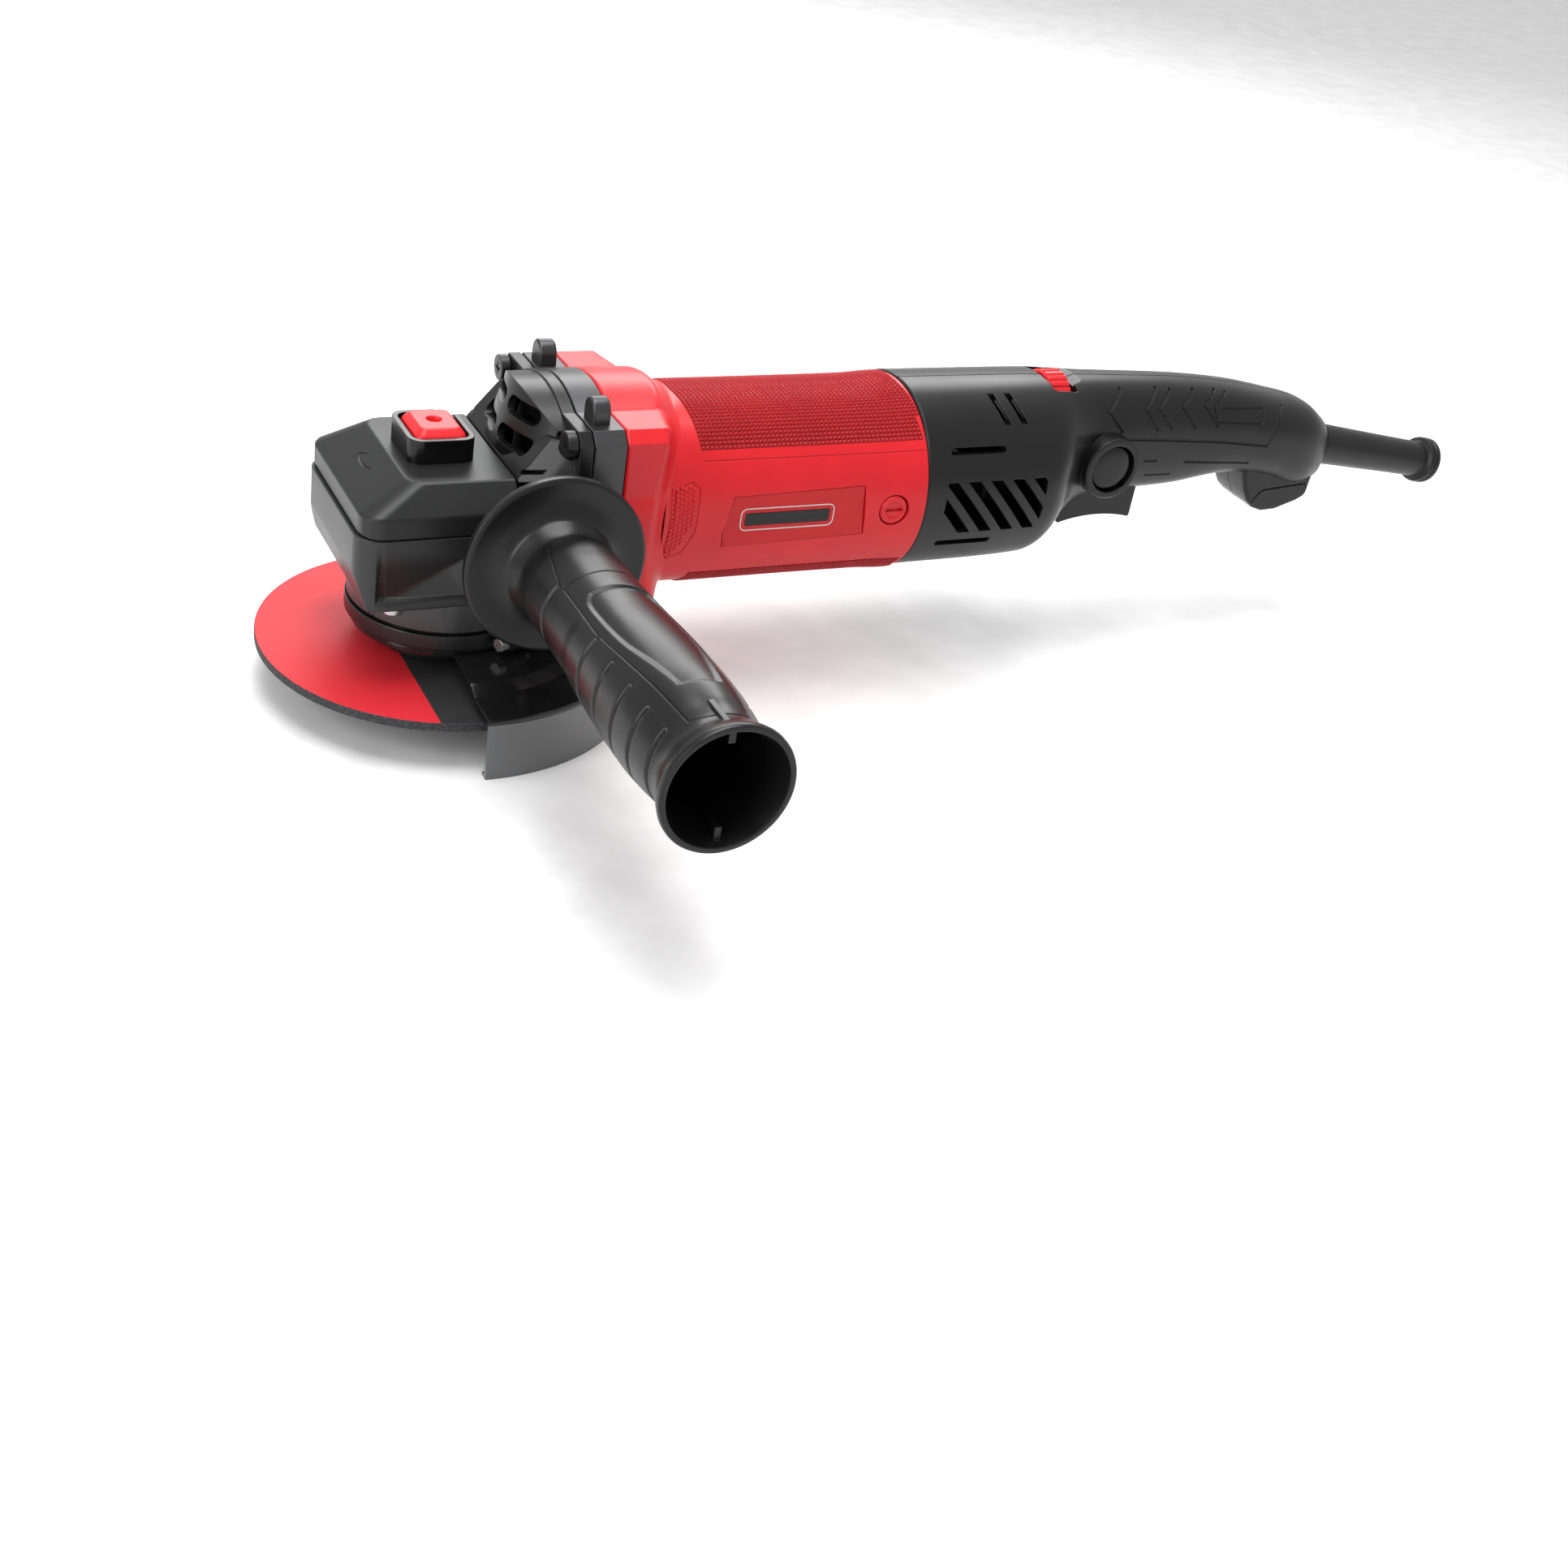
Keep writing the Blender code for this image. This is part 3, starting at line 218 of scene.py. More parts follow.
def disc_finish():
    """Resin-bonded abrasive: a top face that is red, and flat dark grey beyond x -16 mm next to the guard, with dark
    grit at the rim and below.
    """
    made = Finish("abrasive_disc", (0.57, 0.012, 0.022), 0.55, edge=0)
    grit = made.node("TexVoronoi", {}, {"Vector": made.place, "Scale": 1500.0})
    speck = made.noise(2600, 2.0)
    face = made.axis(2) > 11.93 * MM
    # The top face is red up to x -16 mm and flat dark grey beyond it, beside the guard.
    split = made.axis(0) > -16 * MM
    paper = made.blend(split, (0.57, 0.016, 0.026, 1), (0.020, 0.020, 0.021, 1))
    stone = made.blend(grit, (0.006, 0.006, 0.007, 1), (0.055, 0.055, 0.06, 1))
    made.set("Base Color", made.blend(face, stone, paper))
    made.set("Roughness", 0.72 - 0.22 * face + 0.06 * speck)
    made.relief(grit * (1.0 - face) + 0.06 * speck, 0.25 * MM)
    return made


GUARD_PAINT = guard_finish()
DISC = disc_finish()


# Shaping
def new_piece(name, bm):
    bmesh.ops.recalc_face_normals(bm, faces=bm.faces)
    mesh = bpy.data.meshes.new(name)
    bm.to_mesh(mesh)
    bm.free()
    piece = bpy.data.objects.new(name, mesh)
    bpy.context.scene.collection.objects.link(piece)
    return piece


def settle(piece):
    """Applies the piece's modifiers to its mesh."""
    graph = bpy.context.evaluated_depsgraph_get()
    made = bpy.data.meshes.new_from_object(piece.evaluated_get(graph), depsgraph=graph)
    piece.modifiers.clear()
    piece.data = made
    return piece


def shaped(piece, add=(), keep=(), cut=()):
    """Joins, intersects and cuts a piece with tools, which are used up."""
    for operation, tools in (("UNION", add), ("INTERSECT", keep), ("DIFFERENCE", cut)):
        for tool in tools:
            step = piece.modifiers.new(operation.lower(), "BOOLEAN")
            step.solver = "EXACT"
            step.operation = operation
            step.object = tool
    settle(piece)
    for tool in (*add, *keep, *cut):
        bpy.data.objects.remove(tool)
    return piece


def rounded(piece, width, segments=3, angle=25):
    step = piece.modifiers.new("rounded", "BEVEL")
    step.width = width
    step.segments = segments
    step.limit_method = "ANGLE"
    step.angle_limit = math.radians(angle)
    return settle(piece)


def place(piece, finish, body, *nodes, slot=None, sharp=32):
    """Shades a finished piece, gives it its material, ties it to its body and hides the CAD nodes it stands in for."""
    piece.data.materials.clear()
    piece.data.materials.append(finish.material)
    piece.data.shade_smooth()
    piece.data.set_sharp_from_angle(angle=math.radians(sharp))
    step = piece.modifiers.new("even", "WEIGHTED_NORMAL")
    step.keep_sharp = True
    settle(piece)
    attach(piece, body)
    if nodes:
        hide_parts(*nodes)
    return piece


def block(name, low, high, corner=0.0, axis=None, segments=4):
    """A box whose edges, or only those along one axis, are rounded."""
    bm = bmesh.new()
    bmesh.ops.create_cube(bm, size=1.0)
    low, high = Vector(low), Vector(high)
    bmesh.ops.scale(bm, vec=high - low, verts=bm.verts)
    bmesh.ops.translate(bm, vec=(low + high) / 2, verts=bm.verts)
    if corner:
        edges = [
            e for e in bm.edges
            if axis is None or abs((e.verts[0].co - e.verts[1].co).normalized()[axis]) > 0.9
        ]
        bmesh.ops.bevel(bm, geom=edges, offset=corner, segments=segments, profile=0.5, affect="EDGES")
    return new_piece(name, bm)


def rod(name, radius, start, end, segments=48, end_radius=None):
    start, end = Vector(start), Vector(end)
    turn = (end - start).to_track_quat("Z", "Y").to_matrix().to_4x4()
    bm = bmesh.new()
    bmesh.ops.create_cone(
        bm, cap_ends=True, segments=segments, radius1=radius,
        radius2=radius if end_radius is None else end_radius,
        depth=(end - start).length, matrix=Matrix.Translation((start + end) / 2) @ turn,
    )
    return new_piece(name, bm)


def hull(name, points):
    bm = bmesh.new()
    for point in points:
        bm.verts.new(point)
    made = bmesh.ops.convex_hull(bm, input=bm.verts)
    spare = [v for v in made["geom_interior"] if isinstance(v, bmesh.types.BMVert)]
    bmesh.ops.delete(bm, geom=spare, context="VERTS")
    bmesh.ops.dissolve_limit(bm, angle_limit=math.radians(0.6), verts=bm.verts, edges=bm.edges)
    return new_piece(name, bm)


def prism(name, outline, axis, low, high):
    """A flat outline drawn out along an axis; the outline's two numbers fill the other axes in order."""
    def lift(point, level):
        point = list(point)
        point.insert(axis, level)
        return point

    bm = bmesh.new()
    rings = [[bm.verts.new(lift(p, level)) for p in outline] for level in (low, high)]
    for ring in rings:
        bm.faces.new(ring)
    count = len(outline)
    for i in range(count):
        j = (i + 1) % count
        bm.faces.new((rings[0][i], rings[0][j], rings[1][j], rings[1][i]))
    return new_piece(name, bm)


def turned(name, profile, centre=(0, 0, 0), axis="Z", steps=96):
    """A profile of (radius, height) turned about an axis; it may be closed or reach the axis at both ends."""
    closed = profile[0][0] > 0 and profile[-1][0] > 0
    bm = bmesh.new()
    verts = [bm.verts.new((r, 0.0, h)) for r, h in profile]
    pairs = list(zip(verts, verts[1:])) + ([(verts[-1], verts[0])] if closed else [])
    edges = [bm.edges.new(pair) for pair in pairs]
    bmesh.ops.spin(
        bm, geom=verts + edges, cent=(0, 0, 0), axis=(0, 0, 1), angle=2 * math.pi, steps=steps, use_merge=True
    )
    bmesh.ops.remove_doubles(bm, verts=bm.verts, dist=1e-7)
    turn = {"Z": Matrix(), "X": Matrix.Rotation(math.radians(90), 4, "Y"),
            "-Y": Matrix.Rotation(math.radians(90), 4, "X")}[axis]
    bmesh.ops.transform(bm, matrix=Matrix.Translation(centre) @ turn, verts=bm.verts)
    return new_piece(name, bm)


def skin(name, rows, loop=False):
    """A closed tube through rows of points that all have the same count; a loop meets its own start."""
    bm = bmesh.new()
    rings = [[bm.verts.new(point) for point in row] for row in rows]
    count = len(rings[0])
    for first, second in zip(rings, rings[1:] + rings[:1] if loop else rings[1:]):
        for i in range(count):
            j = (i + 1) % count
            bm.faces.new((first[i], first[j], second[j], second[i]))
    if not loop:
        bm.faces.new(rings[0])
        bm.faces.new(rings[-1])
    return new_piece(name, bm)


def swept(name, points, normals, radius, sides=8):
    """A thin tube along points, used for grooves on a surface; it closes if it ends where it starts."""
    rows = []
    loop = (points[0] - points[-1]).length < 1e-6
    if loop:
        points, normals = points[:-1], normals[:-1]
    last = len(points) - 1
    for i, point in enumerate(points):
        before, after = (i - 1, (i + 1) % len(points)) if loop else (max(i - 1, 0), min(i + 1, last))
        ahead = points[after] - points[before]
        across = ahead.cross(normals[i]).normalized()
        up = across.cross(ahead).normalized()
        rows.append([
            point + radius * (math.cos(t) * across + math.sin(t) * up)
            for t in (2 * math.pi * k / sides for k in range(sides))
        ])
    return skin(name, rows, loop)


def resampled(corners, step):
    """Points a step apart along a broken line in any number of dimensions."""
    made = []
    for a, b in zip(corners, corners[1:]):
        a, b = Vector(a), Vector(b)
        count = max(1, round((b - a).length / step))
        made += [a.lerp(b, i / count) for i in range(count)]
    return made + [Vector(corners[-1])]


def smoothstep(low, high, value):
    t = min(1.0, max(0.0, (value - low) / (high - low)))
    return t * t * (3 - 2 * t)


def through(stations, x):
    """The value at x on a smooth curve through (x, value) stations."""
    if x <= stations[0][0]:
        return stations[0][1]
    if x >= stations[-1][0]:
        return stations[-1][1]
    i = max(k for k in range(len(stations) - 1) if stations[k][0] <= x)
    (x0, y0), (x1, y1) = stations[i], stations[i + 1]

    def slope(k):
        a, b = stations[max(k - 1, 0)], stations[min(k + 1, len(stations) - 1)]
        return (b[1] - a[1]) / (b[0] - a[0])

    t, span = (x - x0) / (x1 - x0), x1 - x0
    return ((2 * t**3 - 3 * t**2 + 1) * y0 + (t**3 - 2 * t**2 + t) * span * slope(i)
            + (3 * t**2 - 2 * t**3) * y1 + (t**3 - t**2) * span * slope(i + 1))


# Repeats
class Tree:
    """A Geometry Nodes tree that takes points, puts a shape on each and gives it a material."""

    def __init__(self, name):
        self.group = bpy.data.node_groups.new(name, "GeometryNodeTree")
        face = self.group.interface
        face.new_socket("Geometry", in_out="INPUT", socket_type="NodeSocketGeometry")
        face.new_socket("Geometry", in_out="OUTPUT", socket_type="NodeSocketGeometry")
        self.source = self.group.nodes.new("NodeGroupInput")
        self.result = self.group.nodes.new("NodeGroupOutput")

    def size(self, name, value):
        made = self.group.interface.new_socket(name, in_out="INPUT", socket_type="NodeSocketFloat")
        made.default_value = value
        return self.source.outputs[name]

    def add(self, kind, settings=None, sockets=None):
        made = self.group.nodes.new(kind)
        for key, value in (settings or {}).items():
            setattr(made, key, value)
        for key, value in (sockets or {}).items():
            if isinstance(value, bpy.types.NodeSocket):
                self.group.links.new(value, made.inputs[key])
            else:
                made.inputs[key].default_value = value
        return made


def studs(name, spots, shape, height, width, finish, body, sides=4):
    """Small pyramids, domes or bars standing on a surface, one on each (point, normal) of spots."""
    tree = Tree(name + "_tree")
    tall, wide = tree.size("Height", height), tree.size("Width", width)
    if shape == "pyramid":
        cone = tree.add("GeometryNodeMeshCone", {"fill_type": "NGON"}, {
            "Vertices": sides, "Radius Top": 0.0, "Radius Bottom": wide, "Depth": tall})
        square = tree.add("GeometryNodeTransform", {}, {
            "Geometry": cone.outputs["Mesh"], "Rotation": (0.0, 0.0, math.radians(45))})
        lump = square.outputs["Geometry"]
    else:
        ball = tree.add("GeometryNodeMeshUVSphere", {}, {"Segments": sides, "Rings": 6, "Radius": wide})
        flat = tree.add("ShaderNodeCombineXYZ", {}, {"X": 1.0, "Y": 1.0, "Z": height / width})
        squashed = tree.add("GeometryNodeTransform", {}, {"Geometry": ball.outputs["Mesh"], "Scale": flat.outputs[0]})
        lump = squashed.outputs["Geometry"]
    upright = tree.add("GeometryNodeInputNamedAttribute", {"data_type": "FLOAT_VECTOR"}, {"Name": "upright"})
    along = tree.add("GeometryNodeInputNamedAttribute", {"data_type": "FLOAT_VECTOR"}, {"Name": "along"})
    first = tree.add("FunctionNodeAlignRotationToVector", {"axis": "Z"}, {"Vector": upright.outputs["Attribute"]})
    second = tree.add("FunctionNodeAlignRotationToVector", {"axis": "X", "pivot_axis": "Z"}, {
        "Rotation": first.outputs[0], "Vector": along.outputs["Attribute"]})
    put = tree.add("GeometryNodeInstanceOnPoints", {}, {
        "Points": tree.source.outputs[0], "Instance": lump, "Rotation": second.outputs[0]})
    whole = tree.add("GeometryNodeRealizeInstances", {}, {"Geometry": put.outputs[0]})
    painted = tree.add("GeometryNodeSetMaterial", {}, {"Geometry": whole.outputs[0], "Material": finish.material})
    tree.group.links.new(painted.outputs[0], tree.result.inputs[0])
    mesh = bpy.data.meshes.new(name)
    mesh.from_pydata([tuple(point) for point, _, _ in spots], [], [])
    for key, index in (("upright", 1), ("along", 2)):
        store = mesh.attributes.new(key, "FLOAT_VECTOR", "POINT")
        store.data.foreach_set("vector", [c for spot in spots for c in spot[index]])
    piece = bpy.data.objects.new(name, mesh)
    bpy.context.scene.collection.objects.link(piece)
    step = piece.modifiers.new("repeat", "NODES")
    step.node_group = tree.group
    settle(piece)
    return place(piece, finish, body)


# Motor housing: a round barrel that grows out of the screw collar
COLLAR_FRONT, BARREL_END = 44 * MM, 155 * MM
COLLAR_RADIUS = 37 * MM
LUG_WIDE, LUG_HIGH, LUG_CORNER = 35.2 * MM, 32.5 * MM, 3.5 * MM
FLOOR_DROP = 33 * MM
BARREL_STATIONS = [(44, 31.6), (128, 31.6), (140, 32.0), (150, 32.9), (155, 33.0)]
SCREW_Y, SCREW_DZ = 30.5 * MM, 28 * MM


def barrel_radius(x, turn):
    """The barrel is very slightly squared; turn is measured from straight up."""
    q = 2.25 - 0.2 * smoothstep(130 * MM, 152 * MM, x)
    across, up = abs(math.sin(turn)), abs(math.cos(turn))
    return MM * through(BARREL_STATIONS, x / MM) / (across**q + up**q) ** (1 / q)


def collar_radius(turn, shrink=0.0):
    across, up = abs(math.sin(turn)) + 1e-9, math.cos(turn)
    lug = min(
        (LUG_WIDE - shrink) / across, (LUG_HIGH - shrink) / (abs(up) + 1e-9),
        (LUG_WIDE + LUG_HIGH - LUG_CORNER - 1.5 * shrink) / (across + abs(up)),
    )
    reach = max(COLLAR_RADIUS - shrink, lug)
    return min(reach, FLOOR_DROP / -up) if up < 0 else reach


def collar_edge(turn):
    """The collar's rear edge sweeps forward on the sides."""
    return (56.8 + 9.0 * math.cos(turn) ** 2) * MM


def housing_radius(x, turn):
    edge = collar_edge(turn)
    share = smoothstep(edge - 4.0 * MM, edge + 5.0 * MM, x)
    lip = 0.5 * MM * (1 - smoothstep(COLLAR_FRONT, COLLAR_FRONT + 0.6 * MM, x))
    return collar_radius(turn, lip) * (1 - share) + barrel_radius(x, turn) * share


def round_point(x, turn, radius, centre=MOTOR_Z):
    return Vector((x, -radius * math.sin(turn), centre + radius * math.cos(turn)))


def barrel_turns():
    """Even steps round, with the collar's corners met exactly."""
    corners = [
        (LUG_WIDE, LUG_HIGH - LUG_CORNER), (LUG_WIDE - LUG_CORNER, LUG_HIGH),
        (LUG_WIDE, math.sqrt(COLLAR_RADIUS**2 - LUG_WIDE**2)), (math.sqrt(COLLAR_RADIUS**2 - LUG_HIGH**2), LUG_HIGH),
        (17.0 * MM, FLOOR_DROP),
    ]
    exact = [math.atan2(y, z) for y, z in corners]
    exact = [t for e in exact for t in (e, math.pi - e, math.pi + e, 2 * math.pi - e)]
    even = [2 * math.pi * k / 180 for k in range(180)]
    spread = [t for t in even if all(abs(t - e) > 0.012 for e in exact)]
    return sorted(spread + exact)


def steps(low, high, step):
    count = max(1, round((high - low) / step))
    return [low + (high - low) * i / count for i in range(count)]


def motor_housing():
    xs = steps(44 * MM, 45 * MM, 0.3 * MM) + steps(45 * MM, 76 * MM, 0.6 * MM)
    xs += steps(76 * MM, BARREL_END, 2.5 * MM) + [BARREL_END]
    turns = barrel_turns()
    housing = skin("motor_housing_shell", [[round_point(x, t, housing_radius(x, t)) for t in turns] for x in xs])
    label = [(82.2, 51.6), (81.3, 56.8), (84.4, 69.1), (131.8, 70.4), (133.8, 53.1), (87.4, 51.8)]
    tools = [
        rod("fan_room", 32.4 * MM, (0.04, 0, MOTOR_Z), (60.5 * MM, 0, MOTOR_Z)),
        rod("motor_bore", 28.6 * MM, (0.05, 0, MOTOR_Z), (0.2, 0, MOTOR_Z)),
        prism("label_pocket", [(x * MM, z * MM) for x, z in label], 1, -50 * MM, -30.35 * MM),
    ]
    for side in (-1, 1):
        for level in (-1, 1):
            y, z = side * SCREW_Y, MOTOR_Z + level * SCREW_DZ
            tools.append(rod("screw_hole", 2.4 * MM, (40 * MM, y, z), (58 * MM, y, z), 16))
        tools.append(rod("brush_hole", 5.4 * MM,
                         (143.5 * MM, side * 0.02, MOTOR_Z), (143.5 * MM, side * 0.05, MOTOR_Z)))
    tools += barrel_grooves()
    shaped(housing, cut=tools)
    place(housing, RED, "machine", "motor_housing", slot="red_plastic", sharp=38)
    knurls()
    label_badge(label)
    for side, node in ((-1, "brush_cap_right"), (1, "brush_cap_left")):
        brush_cap(side, node)


def surface_frame(x, turn):
    """A point on the housing with its outward normal and the direction along the barrel."""
    point = round_point(x, turn, housing_radius(x, turn))
    ahead = round_point(x + 0.3 * MM, turn, housing_radius(x + 0.3 * MM, turn)) - point
    beside = round_point(x, turn + 0.01, housing_radius(x, turn + 0.01)) - point
    normal = beside.cross(ahead).normalized()
    if normal.dot(point - Vector((x, 0, MOTOR_Z))) < 0:
        normal = -normal
    return point, normal, ahead.normalized()


def barrel_groove(name, corners, radius=0.22 * MM):
    """A groove through (x, turn) corners on the housing, in millimetres and degrees."""
    route = [surface_frame(x * MM, math.radians(turn)) for x, turn in resampled(corners, 2.0)]
    return swept(name, [p for p, _, _ in route], [n for _, n, _ in route], radius, 6)


PAD_CORNERS = [(63.2, 92), (64.0, 71), (69.5, 66.5), (72.2, 70), (71.6, 96), (68.2, 110), (63.4, 114), (61.6, 104),
               (63.2, 92)]


def barrel_grooves():
    made = []
    for side in (1, -1):
        made.append(barrel_groove("edge_line", [(74, side * 55.5), (154.6, side * 55.5)]))
        made.append(barrel_groove("lower_line", [(74, side * 131), (154.6, side * 131)]))
        made.append(barrel_groove("pad_line", [(x, side * t) for x, t in PAD_CORNERS], 0.28 * MM))
    return made


def knurls():
    """Rows of small pyramids over the top and the bottom of the barrel, and scales on the side pads."""
    pitch, row = 1.578 * MM, 1.385 * MM
    spots = []
    rows = round(2 * math.radians(48) * 31.6 * MM / row)
    for bottom in (0, 1):
        for k in range(rows + 1):
            turn = math.radians(-48) + math.radians(96) * k / rows
            x = 72.4 * MM + 2.2 * MM * abs(turn) + bottom * 1.5 * MM
            while x < 154.2 * MM:
                spots.append(surface_frame(x, turn + bottom * math.pi))
                x += pitch
    studs("barrel_knurl", spots, "pyramid", 0.62 * MM, 1.02 * MM, KNURL_RED, "machine")
    scales = []
    for side in (1, -1):
        for i in range(7):
            for k in range(24):
                x = 63.0 + 1.45 * i
                turn = 69.0 + 2.75 * (k + 0.5 * (i % 2))
                low = 67.5 + 0.6 * max(0.0, x - 69.0)
                high = 112 - 3.4 * max(0.0, x - 65.0)
                if low < turn < high and x < 71.4:
                    scales.append(surface_frame(x * MM, math.radians(side * turn)))
    studs("grip_scales", scales, "dome", 0.34 * MM, 0.72 * MM, RED, "machine", 10)


def label_badge(outline):
    """A recessed plate with chamfered corners and a blank framed badge, which carries no lettering."""
    middle = Vector((108 * MM, 61.2 * MM))
    inner = [middle + (Vector((x * MM, z * MM)) - middle) * 0.99 for x, z in outline]
    plate = prism("label_face", inner, 1, -30.9 * MM, -30.5 * MM)
    place(plate, LABEL_RED, "machine", "label_plate", slot="label_red")
    low, high = (87.5, 57.0), (121.5, 64.8)

    def frame_block(name, inset, proud):
        return block(name, ((low[0] + inset) * MM, -proud, (low[1] + inset) * MM),
                     ((high[0] - inset) * MM, -30.8 * MM, (high[1] - inset) * MM), (2.2 - inset) * MM, 1, 6)

    rim = shaped(frame_block("badge_rim", 0.0, 31.02 * MM), cut=[frame_block("badge_hole", 0.35, 40 * MM)])
    place(rim, LIGHT_INK, "machine")
    bar = frame_block("badge_bar", 1.7, 31.0 * MM)
    place(bar, GLOSS_BLACK, "machine")


def brush_cap(side, node):
    face = 32.25 * MM
    centre = (143.5 * MM, 0, MOTOR_Z)
    cap = turned(node + "_disc", [
        (0, face - 0.5 * MM), (2.6 * MM, face - 0.5 * MM), (3.1 * MM, face), (4.6 * MM, face),
        (5.0 * MM, face - 0.5 * MM), (5.0 * MM, 27.6 * MM), (0, 27.6 * MM),
    ], centre, "-Y", 48)
    if side > 0:
        cap.data.transform(
            Matrix.Translation(centre) @ Matrix.Rotation(math.pi, 4, "Z") @ Matrix.Translation(-Vector(centre)))
    y = sorted((side * (face - 1.2 * MM), side * (face + 1 * MM)))
    slot_tool = block("cap_slot", (140.2 * MM, y[0], MOTOR_Z - 0.55 * MM), (146.8 * MM, y[1], MOTOR_Z + 0.55 * MM))
    shaped(cap, cut=[slot_tool])
    place(cap, RED, "machine", node, slot="red_plastic")


# Gear head
HEAD_FRONT, HEAD_HALF = -36 * MM, 31.5 * MM
HEAD_LOW, HEAD_SPLIT, PLATEAU = 38 * MM, 61.35 * MM, 76.5 * MM


def cover_hull(name, rear, shrink=0.0):
    wide, narrow = HEAD_HALF - shrink, 25 * MM - shrink
    front = HEAD_FRONT + 1.0 * MM + shrink
    low = 30 * MM if shrink else HEAD_SPLIT + 0.3 * MM
    corner = [(front, wide - 7.0 * MM), (front + 0.7 * MM, wide - 4.2 * MM), (front + 2.4 * MM, wide - 1.7 * MM),
              (front + 4.6 * MM, wide - 0.3 * MM), (front + 6.8 * MM, wide), (rear, wide)]
    top = [(-20 * MM + shrink, narrow - 5.2 * MM), (-19.0 * MM + shrink, narrow - 2.4 * MM),
           (-17.0 * MM + shrink, narrow - 0.7 * MM), (-14.6 * MM + shrink, narrow), (rear, narrow)]
    levels = ((corner, low), (corner, 68.2 * MM - shrink), (top, PLATEAU - shrink))
    return hull(name, [(x, s * y, z) for s in (-1, 1) for line, z in levels for x, y in line])


def head_cover():
    cover = cover_hull("head_cover", 13.1 * MM)
    rounded(cover, 0.7 * MM, 3, 20)
    well = block("button_well", (-14.5 * MM, -10.5 * MM, 71.6 * MM), (3.5 * MM, 10.5 * MM, 90 * MM), 3 * MM, 2, 6)
    hollow = cover_hull("head_hollow", FAR, WALL)
    tray = block("button_tray", (-16 * MM, -12.1 * MM, 70.3 * MM), (5 * MM, 12.1 * MM, 75.2 * MM))
    bosses = [
        rod("boss_room", 11 * MM, (HANDLE_X, s * 24 * MM, HANDLE_Z), (HANDLE_X, s * 50 * MM, HANDLE_Z)) for s in (-1, 1)
    ]
    shaped(cover, cut=[hollow])
    arrow = [swept("turn_mark", [Vector((x * MM, y * MM, z * MM)) for x, y, z in line],
                   [Vector((-0.45, 0, 0.9))] * len(line), 0.4 * MM, 8) for line in turn_mark()]
    shaped(cover, add=[tray], cut=[well, *bosses, *arrow])
    place(cover, HEAD_PAINT, "machine", "gear_case_cover", slot="head_paint", sharp=28)
    surround()


def turn_mark():
    """A short curved arrow cut into the front slope, as the mark for the disc's turning direction."""
    def on_slope(x, y):
        return (x, y, 76.5 - (-20.0 - x) * 8.3 / 15.0)

    arc = [on_slope(-25.0 - 2.2 * math.cos(t), 7.0 * math.sin(t)) for t in (-1.0 + 0.2 * k for k in range(11))]
    head = [on_slope(-24.8, 3.6), on_slope(-26.1, 6.1), on_slope(-28.6, 5.2)]
    return [arc, [Vector(p) for p in head]]


def surround():
    """A U of black plastic wall round the lock button, open towards the far rear corner."""
    def wall(name, grow, low, high, corner):
        return block(name, ((-14.5 - grow) * MM, (-10.5 - grow) * MM, low * MM),
                     ((3.5 + grow) * MM, (10.5 + grow) * MM, high * MM), corner * MM, 2, 8)

    piece = wall("button_surround", 1.5, 72.0, 84.0, 4.6)
    opening = block("surround_gap", (-1.5 * MM, 7.5 * MM, 76.6 * MM), (12 * MM, 20 * MM, 90 * MM))
    shaped(piece, cut=[opening])
    rounded(piece, 0.6 * MM, 3, 50)
    shaped(piece, cut=[wall("surround_inside", -0.2, 70.0, 95.0, 3.0)])
    place(piece, GLOSS_BLACK, "machine", slot="black_plastic")


def lock_button():
    middle = -5.4 * MM
    levels = ((76.5, 8.1, 9.4), (83.0, 8.1, 9.4), (84.0, 7.8, 9.1), (86.0, 6.0, 7.2))
    points = []
    for z, half_x, half_y in levels:
        for sx in (-1, 1):
            for sy in (-1, 1):
                for k in range(5):
                    t = math.radians(22.5 * k)
                    r = 2.6 if z < 86 else 2.0
                    points.append((middle + sx * (half_x - r + r * math.cos(t)) * MM,
                                   sy * (half_y - r + r * math.sin(t)) * MM, z * MM))
    button = rounded(hull("lock_button_cap", points), 0.5 * MM, 3, 24)
    dimple = turned("dimple", [(0, 90 * MM), (2.6 * MM, 90 * MM), (2.6 * MM, 86.1 * MM), (2.1 * MM, 85.4 * MM),
                               (2.0 * MM, 84.2 * MM), (0, 84.2 * MM)], (middle, 0, 0), "Z", 40)
    bore = rod("pin_bore", 2.1 * MM, (-11 * MM, 6 * MM, 70 * MM), (-11 * MM, 6 * MM, 81.5 * MM), 16)
    shaped(button, cut=[dimple, bore])
    place(button, BUTTON_RED, "lock_button", "spindle_lock_button", slot="red_plastic")


def flange_outline(x, shrink=0.0):
    return [round_point(x, t, collar_radius(t, shrink)) for t in barrel_turns()]


def flange(name, front, rear, edge=0.35 * MM):
    return skin(name, [flange_outline(front, edge), flange_outline(front + edge), flange_outline(rear - edge),
                       flange_outline(rear, edge)])


def screw_holes(radius, front, rear):
    return [
        rod("screw_hole", radius,
            (front, s * SCREW_Y, MOTOR_Z + v * SCREW_DZ), (rear, s * SCREW_Y, MOTOR_Z + v * SCREW_DZ), 20)
        for s in (-1, 1) for v in (-1, 1)
    ]


